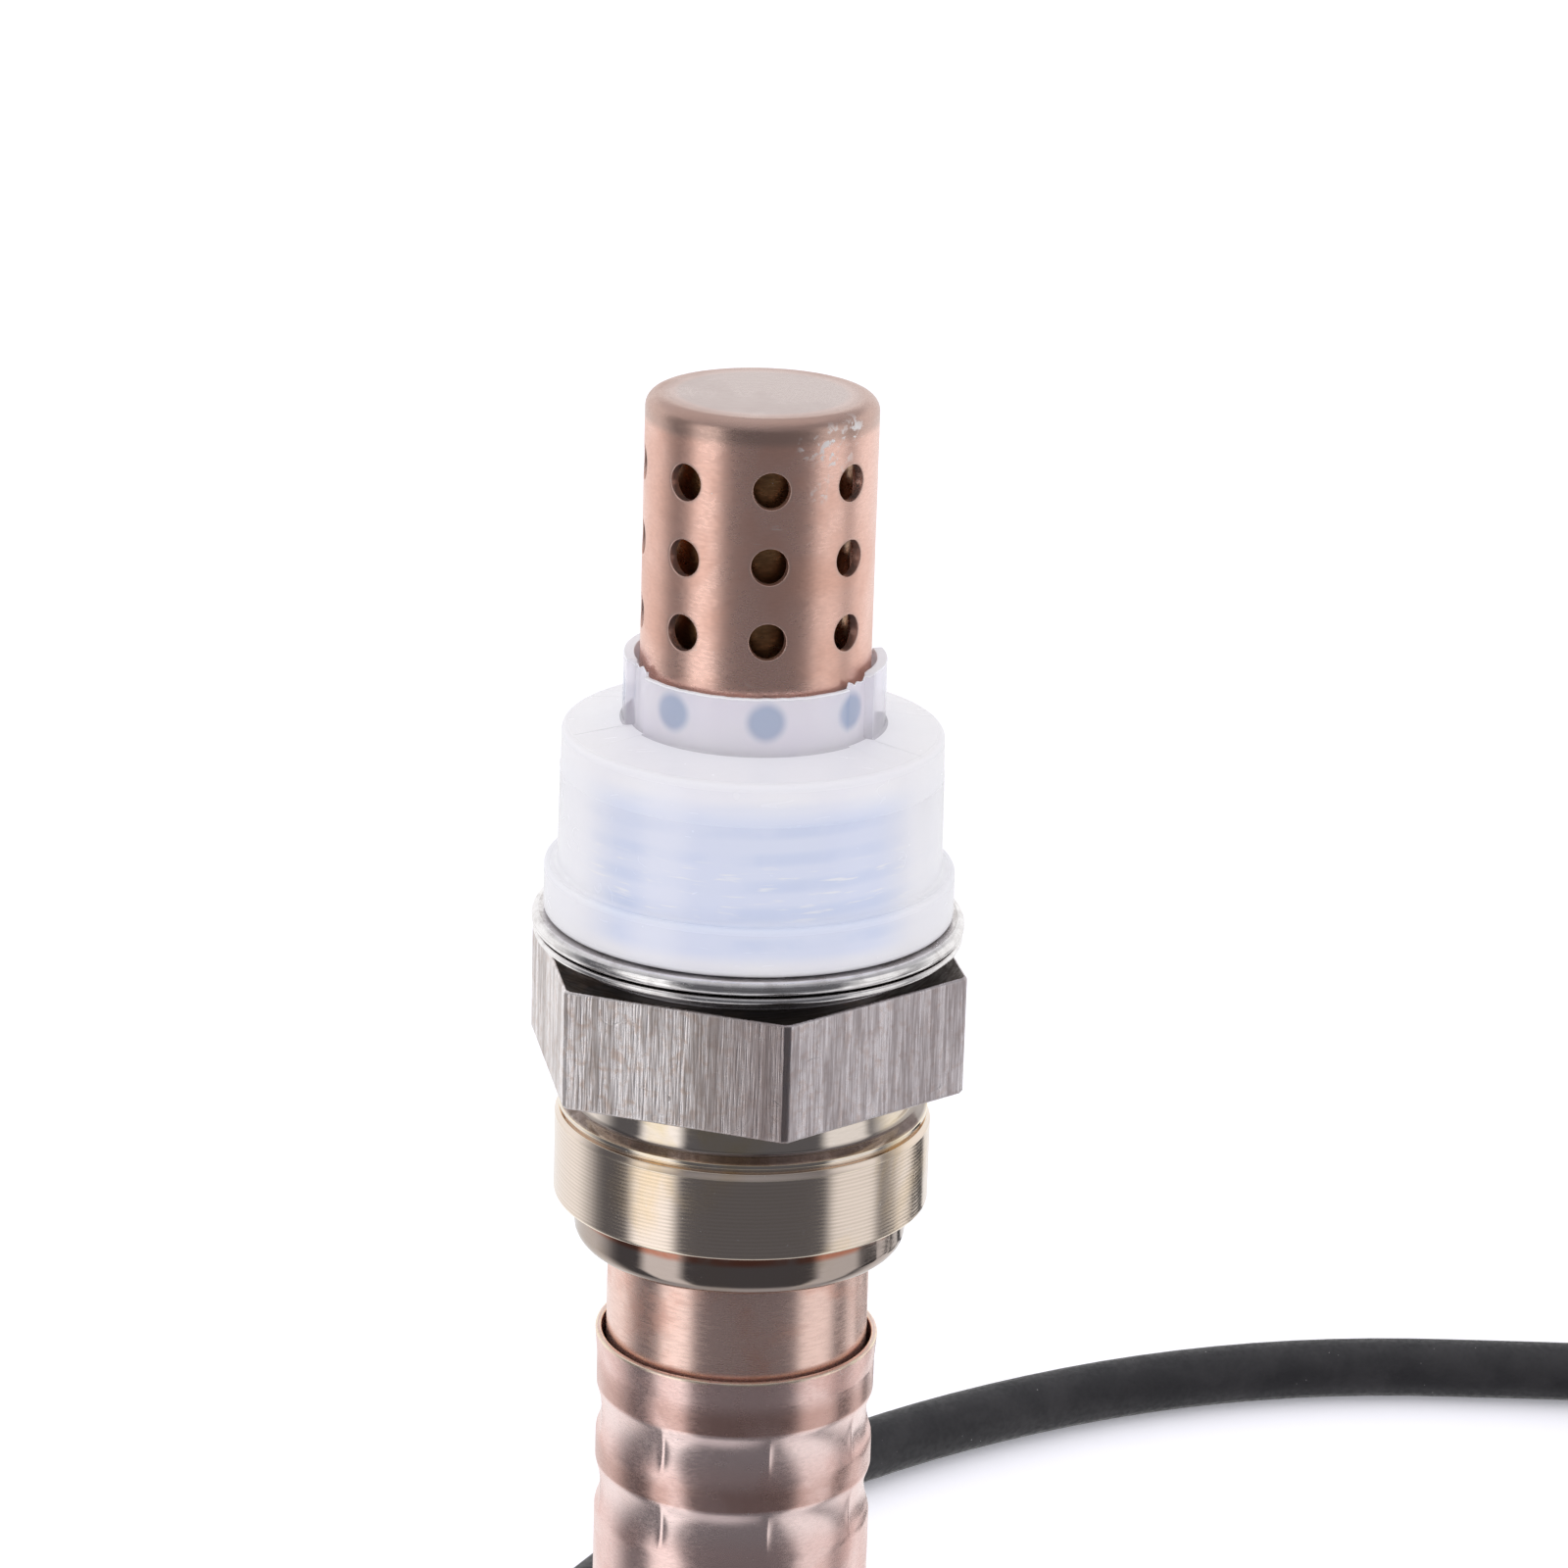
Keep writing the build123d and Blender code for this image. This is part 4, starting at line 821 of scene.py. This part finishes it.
zones[len(lower) + len(hexed) - 3 : len(lower) + len(hexed) + 2] = HEX_TOP
grid = (house, np.broadcast_to(ridge_rows[:, None], house.shape[:2]), True, True)
housing = piece("sensor_housing", [grid], replaces=["housing"], zones=zones, crease=32)
for material in (neck_steel, collar_steel, thread_steel, hex_steel, hex_top_steel):
    housing.data.materials.append(material)

# %% [markdown]
# ### Shade on the hexagon and the neck
# The two front flats of the hexagon are darker where they meet, and so are the ledge under the neck
# and the rolled lip. This shade is colour, so it stays where it is when the light moves. A patchy
# red-brown line of rust runs where the lip meets the collar.

# %% Shade on the hexagon and the neck
tree = hex_steel.node_tree
bearing = bearing_of(tree, object_place(tree)[1])
corner = math.radians(HEX_TURN)
near_corner = band(tree, bearing, (corner - 0.55, corner - 0.05), (corner + 0.02, corner))
past_corner = between(tree, bearing, corner, corner + 0.02)
painted(hex_steel, near_corner, (0.36, 0.29, 0.29), 0.72)
# Painted shade: the flats past the front corner, towards +X, are painted a little darker.
painted(hex_steel, past_corner, (0.40, 0.35, 0.40), 0.42)
tree = neck_steel.node_tree
level = object_place(tree)[1][2]
rusty = band(tree, level, (-0.01745, -0.0171), (-0.0162, -0.0166))
ledge = band(tree, level, (-0.01097, -0.01092), (-0.0105, -0.0107))
patchy = mask(tree, clouds, size_mm=5.0, low=0.36, high=0.58)
painted(neck_steel, between(tree, level, -0.0164, -0.0172), (0.38, 0.31, 0.28), 0.85)
painted(neck_steel, ledge, (0.30, 0.26, 0.24), 0.85)
painted(neck_steel, times(tree, rusty, patchy), (0.42, 0.17, 0.11))
print("shaded:", hex_steel.name, "and", neck_steel.name)

# %% [markdown]
# ## Crush gasket
# The gasket is one strip of thin steel that is folded over itself into an S and closed to a ring.
# From outside it shows as two rounded rims with a dark line between them.

# %% Crush gasket
fold = soften([
    (9.05, -1.26, 0.3), (11.75, -1.26, 0.17), (11.75, -0.90, 0.15), (9.39, -0.92, 0.04),
    (9.39, -0.82, 0.04),
    (11.83, -0.80, 0.36), (11.83, -0.01, 0.36), (9.05, -0.01, 0.15), (9.05, -0.37, 0.15),
    (11.45, -0.37, 0.04), (11.45, -0.45, 0.04), (9.05, -0.47, 0.36),
], steps=7)
gasket = piece("crush_gasket", [(*turned(fold, columns(256)), True, True)],
               replaces=["gasket"])
gasket.data.materials.append(gasket_silver)

# %% [markdown]
# ## Inner sleeve and outer cover
# The sleeve is a plain drawn tube. The cover is slipped over it, flared at its rim, and squeezed
# in rows by eight rounded jaws. Metal that the jaws miss stays as thin upright ridges.

# %% Inner sleeve
tube = divided(soften([
    (6.9, -16.6, 0.3), (6.9, -26.28, 0.2), (6.55, -26.63, 0.2), (6.55, -48.48), (6.95, -48.48),
    (6.95, -26.63, 0.3), (7.3, -26.28, 0.3), (7.3, -16.98, 0.08), (8.16, -16.98), (8.16, -16.58),
]), 1.5)
sleeve = piece("drawn_sleeve", [(*turned(tube, columns(160)), True, True)],
               replaces=["inner_sleeve"])
sleeve.data.materials.append(sleeve_bronze)

# %% Outer cover
COVER_RADIUS = 7.78
COVER_WALL = 0.4
RIM = -24.78
JAWS = 8
JAW_TURN = 15.1
JAW_ROWS = ((3.3, 3.0, 0.34), (7.9, 3.0, 0.34), (21.1, 1.9, 0.36))
VENT_RADIUS = 0.8
VENT_LEVEL = -41.88
VENT_BAND = 1.6


def squeezed(angle, height):
    """How far the jaws press the wall in. Down a row it is a shallow arc, 1 less the square of the
    way from the row's middle, and round it each jaw is a little flatter than the tube, with a thin
    ridge left where two jaws meet."""
    off = (np.degrees(angle) - JAW_TURN) % (360 / JAWS) - 180 / JAWS
    share = np.abs(off) / (180 / JAWS)
    face = 1 - 0.4 * share ** 2 - 0.2 * np.clip((share - 0.84) / 0.16, 0, 1) ** 2
    depth = 0
    for drop, tall, deep in JAW_ROWS:
        way = (height - (RIM - drop - tall / 2)) / (tall / 2)
        arc = np.clip(1 - way ** 2, 0, 1)
        depth = depth + deep * arc ** 2 / (arc + 0.12) * 1.12 * face
    return depth


upper_cover = divided(soften([
    (COVER_RADIUS, VENT_LEVEL + VENT_BAND, 0), (COVER_RADIUS, RIM - 1.6, 0.8),
    (COVER_RADIUS + 0.14, RIM, 0.12),
    (COVER_RADIUS - 0.22, RIM, 0.12), (COVER_RADIUS - COVER_WALL, RIM - 1.6, 0.7),
    (COVER_RADIUS - COVER_WALL, VENT_LEVEL + VENT_BAND, 0),
]), 0.24, closed=False)
lower_cover = divided(soften([
    (COVER_RADIUS - COVER_WALL, VENT_LEVEL - VENT_BAND, 0), (COVER_RADIUS - COVER_WALL, -49.46, 0.05),
    (COVER_RADIUS - 0.05, -49.48, 0.6), (COVER_RADIUS, -48.7, 0.2),
    (COVER_RADIUS, VENT_LEVEL - VENT_BAND, 0),
]), 0.2, closed=False)
PER_VENT = 80
cover_angle = columns(4 * PER_VENT, JAW_TURN + 45)[None, :]
cover_grids = []
for line in (upper_cover, lower_cover):
    shrunk = line[:, 0:1] - squeezed(cover_angle, line[:, 1:2])
    places = carried(shrunk, line[:, 1:2], cover_angle)
    cover_grids.append((places, np.broadcast_to(line[:, 2:3], places.shape[:2]), False, True))
cover_grids += perforated(
    COVER_RADIUS, COVER_WALL, 4, JAW_TURN, [VENT_LEVEL], VENT_BAND, VENT_RADIUS, 0.06, PER_VENT
)
cover = piece("crimped_cover", cover_grids, replaces=["outer_cover"])
cover.data.materials.append(cover_bronze)

# %% [markdown]
# ### Painted highlight and shade bands on the cover
# The upper half of each dent is painted brighter, a painted highlight, and the round metal just above
# a row is painted darker in patches, a painted shade.

# %% Bands on the cover
tree = cover_bronze.node_tree
level = object_place(tree)[1][2]
painted_highlight_bands, painted_shade_bands = 0.0, 0.0
# Painted highlight on the upper half of each dent, painted shade just above each row.
for drop, _, _ in JAW_ROWS:
    top = (RIM - drop) / 1000
    pressed = band(tree, level, (top + 0.0001, top - 0.0002), (top - 0.0029, top - 0.0012))
    shade_above_row = band(tree, level, (top, top + 0.0001), (top + 0.0022, top + 0.0008))
    painted_highlight_bands = sum_of(tree, "MAXIMUM", painted_highlight_bands, pressed)
    painted_shade_bands = sum_of(tree, "MAXIMUM", painted_shade_bands, shade_above_row)
patchy = mask(tree, clouds, size_mm=6.0, low=0.30, high=0.60)
# Painted shade in patches above the rows, then the painted highlight on the dents.
painted(cover_bronze, times(tree, painted_shade_bands, patchy), (0.62, 0.39, 0.34))
painted(cover_bronze, painted_highlight_bands, (0.98, 0.82, 0.80), 0.6)
print("bands on the cover:", 2 * len(JAW_ROWS))

# %% [markdown]
# ## Thread cap
# The cap is moulded from milky polyethylene, so its walls let blurred light through. It is one
# closed wall: a flange, a drafted skirt, a shoulder, and a collar in four parts. The outline of
# the collar changes with the angle: two low thin tongues, two taller side parts, and between them
# narrow webs of torn flash. Each column blends the outlines of the three kinds by its weights.

# %% Outline of the cap at a tongue, a web and a side part
def cap_outline(collar_radius, collar_top):
    """The cap's outline in mm for one thickness and height of its collar."""
    return soften([
        (9.69, 0.05, 0.06), (11.2, 0.05, 0.28), (11.2, 2.75, 0.25), (10.49, 2.75, 0.2), (10.42, 8.1, 0.0),
        (10.45, 8.19, 0.02), (10.40, 8.28, 0.0), (10.36, 10.45, 0.32), (collar_radius, 10.95, 0.12),
        (collar_radius, collar_top, 0.07), (6.53, collar_top, 0.05), (6.53, 10.15, 0.05),
        (9.56, 9.65, 0.3),
    ], steps=6)


TONGUE_TOP = 14.1
SIDE_TOP = 14.6
kinds = [cap_outline(6.82, TONGUE_TOP), cap_outline(6.63, TONGUE_TOP + 0.1), cap_outline(7.11, SIDE_TOP)]
WEB_MIDDLES = (55.9, 113.1, 235.9, 293.1)
WEB_HALF = 7.6
SIDE_MIDDLES = (84.5, 264.5)
SIDE_HALF = 90 - 61.4
web_edges = [middle + side * WEB_HALF for middle in WEB_MIDDLES for side in (-1, 1)]
cap_angle = columns(240, 0, web_edges, [-0.9, -0.5, -0.25, 0, 0.25, 0.5, 0.9])
degree = np.degrees(cap_angle)


def within(degree, middle, half, ease=0.5):
    """1 inside an arc and 0 outside it, with a short smooth step at both ends."""
    off = np.abs((degree - middle + 180) % 360 - 180)
    step = np.clip((half - off) / ease + 0.5, 0, 1)
    return step * step * (3 - 2 * step)


web = sum(within(degree, middle, WEB_HALF) for middle in WEB_MIDDLES)
side_part = sum(within(degree, middle, SIDE_HALF) for middle in SIDE_MIDDLES) * (1 - web)
tongue = 1 - web - side_part
print("cap columns:", len(cap_angle), "of web:", int((web > 0.5).sum()))

# %% Thread cap
rng = np.random.default_rng(5)
weights = np.stack([tongue, web, side_part])[:, None, :]
cap_radius = (np.stack([kind[:, 0] for kind in kinds])[:, :, None] * weights).sum(0)
cap_height = (np.stack([kind[:, 1] for kind in kinds])[:, :, None] * weights).sum(0)
ragged = rng.normal(size=len(cap_angle))
ragged = (ragged + np.roll(ragged, 1) + np.roll(ragged, -1)) / 3
lift = web * (0.16 + 0.22 * ragged) + (1 - web) * 0.02 * ragged
high = np.clip((cap_height - 12.6) / 1.5, 0, 1)
cap_height = cap_height + lift * high ** 2
cap_radius = cap_radius + web * high * 0.05 * np.roll(ragged, 5) * (cap_radius > 6.58)
cap_places = carried(cap_radius, cap_height, cap_angle[None, :])
cap_ridge = np.broadcast_to(kinds[0][:, 2:3], cap_places.shape[:2])
on_collar = (kinds[0][:, 1] > 11.0) | ((kinds[0][:, 0] < 7.0) & (kinds[0][:, 1] > 10.1))
on_edge = kinds[0][:, 1] > TONGUE_TOP - 0.075
WALL, COLLAR, EDGE = range(3)
cap_zones = np.where(on_edge, EDGE, np.where(on_collar, COLLAR, WALL))
cap = piece("milky_cap", [(cap_places, cap_ridge, True, True)], body="cap",
            replaces=["thread_cap"], zones=cap_zones)

# %% [markdown]
# ### Milky polyethylene
# Thick walls are milky and thin ones let more light through, so the wall, the collar and the top
# edge of its tongues are three finishes of one tree. Rubbing, scratches and dust whiten it.

# %% Milky polyethylene
def polyethylene(name, clear, roughness, tone, drifted, dense):
    """Clear is the share of light that goes through blurred, and dense is how far the wall covers
    what is straight behind it."""
    made, tree, shader = finish(name)
    shader.inputs["Transmission Weight"].default_value = clear
    shader.inputs["IOR"].default_value = 1.42
    shader.inputs["Alpha"].default_value = dense
    place = here(tree)
    cloud = mask(tree, clouds, size_mm=5.0, low=0.35, high=0.65)
    colour = mixed(tree, cloud, (*tone, 1), (*drifted, 1))
    rubbed = mask(tree, worn, amount=0.7)
    scored = mask(tree, scratches, per_mm=0.7, width=0.02, share=0.4)
    fleck = mask(tree, specks, per_mm=2.0, share=0.06, size=0.18)
    whitened = sum_of(tree, "MAXIMUM", rubbed, sum_of(tree, "MAXIMUM", scored, fleck))
    tree.links.new(mixed(tree, whitened, colour, (0.99, 0.99, 1.0, 1)), shader.inputs["Base Color"])
    tree.links.new(sum_of(tree, "MULTIPLY_ADD", whitened, 0.3, roughness), shader.inputs["Roughness"])
    skin = noise(tree, place, 700.0, 3.0)
    tilt(tree, shader, sum_of(tree, "MULTIPLY_ADD", scored, 0.3, skin), 20)
    return made


milky_wall = polyethylene(
    "milky polyethylene wall", 0.06, 0.24, (0.97, 0.96, 1.0), (1.0, 0.99, 1.0), 0.95
)
clear_collar = polyethylene(
    "thin polyethylene collar", 0.1, 0.08, (0.95, 0.91, 1.0), (0.98, 0.95, 1.0), 0.55
)
frosted_edge = polyethylene(
    "frosted polyethylene edge", 0.1, 0.35, (0.98, 0.98, 1.0), (0.94, 0.94, 0.98), 0.9
)
for material in (milky_wall, clear_collar, frosted_edge):
    cap.data.materials.append(material)
print("cap finishes:", len(cap.data.materials))

# %% [markdown]
# ### Painted shade and light on the cap
# Where the threaded body stands behind the wall, the wall is painted bluish, a painted shade, with
# painted shadow bands once a pitch where the crests of the thread come nearer. The left front flank,
# the shoulder and the left and right sides are painted whiter, a painted light, and rubbing has left
# white lines low on the wall. The lowest gas holes show as painted blue shade spots in the collar. All
# of it is colour on the cap, so it goes with the cap when that is lifted off.

# %% Marks on the cap's wall
tree = milky_wall.node_tree
axes = object_place(tree)[1]
level = axes[2]
bearing = bearing_of(tree, axes)
crest = sum_of(tree, "MULTIPLY_ADD", level, 2000 * math.pi / THREAD_PITCH, times(tree, bearing, -1.0))
bands = between(tree, sum_of(tree, "SINE", crest), -0.6, 1.0)
patchy = mask(tree, clouds, size_mm=7.0, low=0.38, high=0.62)
# Painted shade: where the threaded body stands behind the wall, it is painted bluish.
inside = band(tree, level, (0.0005, 0.0015), (0.0098, 0.0082))
painted(milky_wall, inside, (0.70, 0.78, 0.99), 0.6)
# Painted shadow: soft bands once a pitch, where the thread's crests come nearer.
shadow = times(tree, times(tree, bands, patchy), times(tree, inside, 0.35))
painted(milky_wall, shadow, (0.58, 0.68, 0.90))
# Painted light: the left front flank is painted whiter.
painted_light_flank = band(tree, bearing, (-0.64, -0.5), (-0.24, -0.4))
painted(milky_wall, painted_light_flank, (0.95, 0.95, 1.0), 0.35)
round_and_up = add(tree, "ShaderNodeCombineXYZ", {
    0: times(tree, bearing, 5.0), 2: times(tree, level, 4200.0),
}).outputs[0]
rub = noise(tree, round_and_up, 1.0, 2.0)
low_band = band(tree, level, (0.0026, 0.0034), (0.0066, 0.0052))
rubbed = times(tree, between(tree, rub, 0.56, 0.72), times(tree, low_band, 0.8))
painted(milky_wall, rubbed, (0.98, 0.98, 1.0))
# Painted light: the shoulder is painted whiter.
painted(milky_wall, between(tree, level, 0.0099, 0.0104), (0.98, 0.97, 1.0))
# Painted light: the cap's left and right sides are painted whiter.
aside = sum_of(tree, "ABSOLUTE", axes[0])
painted(milky_wall, between(tree, aside, 0.0066, 0.0092), (1.0, 0.99, 1.0), 0.9)
print("nodes in the wall's tree:", len(tree.nodes))

# %% Spots on the collar
COLLAR_RADIUS = 6.82
tree = clear_collar.node_tree
place = here(tree)
holes = 0.0
for column in range(-2, 6):
    angle = math.radians(HOLE_TURN + 45 * column)
    spot = (COLLAR_RADIUS * math.sin(angle), -COLLAR_RADIUS * math.cos(angle), levels[-1] - 0.15)
    holes = sum_of(tree, "MAXIMUM", holes, near_spot(tree, place, spot, 1.3, 0.55))
# Painted shade: the gas holes behind the collar are painted as soft blue spots.
painted(clear_collar, holes, (0.30, 0.42, 0.64), 0.8)
print("nodes in the collar's tree:", len(tree.nodes))

# %% [markdown]
# ## Studio
# The sensor is steel, so what it looks like is mostly what stands round it. The room has a white
# wall behind, a dim side at the camera, and two tall soft lamps, one on each side. Steel mirrors
# that room. The camera and clear plastic see plain white all round, and matt surfaces are lit by
# one even level, at which a colour renders about as it is written.

# %% Room
WHITE = (1, 1, 1, 1)
DIM = (0.11, 0.11, 0.12, 1)
CEILING_NEAR = (0.30, 0.30, 0.32, 1)
CEILING_FAR = (0.50, 0.50, 0.52, 1)
TABLE = (0.60, 0.60, 0.62, 1)
EVEN_LIGHT = (0.93, 0.93, 0.96, 1)
ROOM_LAMPS = [(-55, 15, 1.2), (75, 18, 0.9)]    # bearing, half width in degrees, level
LAMP_EDGE = 5                                    # degrees over which a lamp fades out

world = bpy.data.worlds.new("studio")
bpy.context.scene.world = world
world.use_nodes = True
tree = world.node_tree
tree.nodes.clear()
direction = add(tree, "ShaderNodeTexCoord").outputs["Generated"]
axes = add(tree, "ShaderNodeSeparateXYZ", {0: direction}).outputs
bearing = bearing_of(tree, axes)
room = mixed(tree, between(tree, axes[1], 0.0, 0.5), DIM, WHITE)
for middle, half, level in ROOM_LAMPS:
    away = sum_of(tree, "ABSOLUTE", sum_of(tree, "SUBTRACT", bearing, math.radians(middle)))
    shape = between(tree, away, math.radians(half + LAMP_EDGE), math.radians(half - LAMP_EDGE))
    room = mixed(tree, shape, room, (level, level, level, 1))
ceiling = mixed(tree, between(tree, axes[1], -0.5, 0.45), CEILING_NEAR, CEILING_FAR)
room = mixed(tree, between(tree, axes[2], 0.36, 0.56), room, ceiling)
room = mixed(tree, between(tree, times(tree, axes[2], -1.0), 0.72, 0.95), room, TABLE)
rays = add(tree, "ShaderNodeLightPath").outputs
shown = mixed(tree, rays["Is Glossy Ray"], EVEN_LIGHT, room)
plain = sum_of(tree, "MAXIMUM", rays["Is Camera Ray"], rays["Is Transmission Ray"])
shown = mixed(tree, plain, shown, WHITE)
sky = add(tree, "ShaderNodeBackground", {"Color": shown, "Strength": 1.0})
tree.links.new(sky.outputs[0], add(tree, "ShaderNodeOutputWorld").inputs[0])
print("lamps in the room:", len(ROOM_LAMPS))

# %% Lamp
lamp = in_scene("soft lamp", bpy.data.lights.new("soft lamp", "SUN"))
lamp.data.energy = 0.3
lamp.data.angle = math.radians(90)
lamp.rotation_euler = (math.radians(-8), math.radians(-15), 0)

# %% [markdown]
# ## Floor
# The surface under the lead is white. To the camera it also glows a little, so that it is white
# out to the horizon and only the shadow of the lead shows on it. Reflections pass through it to
# the room.

# %% Floor
floor_mesh = bpy.data.meshes.new("floor")
side = 3.0
square = np.array([(-side, -side), (side, -side), (side, side), (-side, side)])
floor_mesh.from_pydata(np.column_stack([square, np.full(4, SURFACE / 1000)]), [], [(0, 1, 2, 3)])
floor = in_scene("floor", floor_mesh)
paper, tree, shader = finish("white paper")
shader.inputs["Roughness"].default_value = 0.9
shader.inputs["Specular IOR Level"].default_value = 0.1
cloud = mask(tree, clouds, size_mm=60.0, low=0.3, high=0.7)
tone = mixed(tree, cloud, (0.86, 0.85, 0.88, 1), (0.88, 0.87, 0.9, 1))
tree.links.new(tone, shader.inputs["Base Color"])
seen = add(tree, "ShaderNodeLightPath").outputs["Is Camera Ray"]
glow = mixed(tree, seen, (0, 0, 0, 1), (0.25, 0.25, 0.27, 1))
tree.links.new(glow, shader.inputs["Emission Color"])
shader.inputs["Emission Strength"].default_value = 1.0
floor_mesh.materials.append(paper)
floor.visible_glossy = False

# %% Finish
bpy.context.scene.view_settings.view_transform = "Standard"
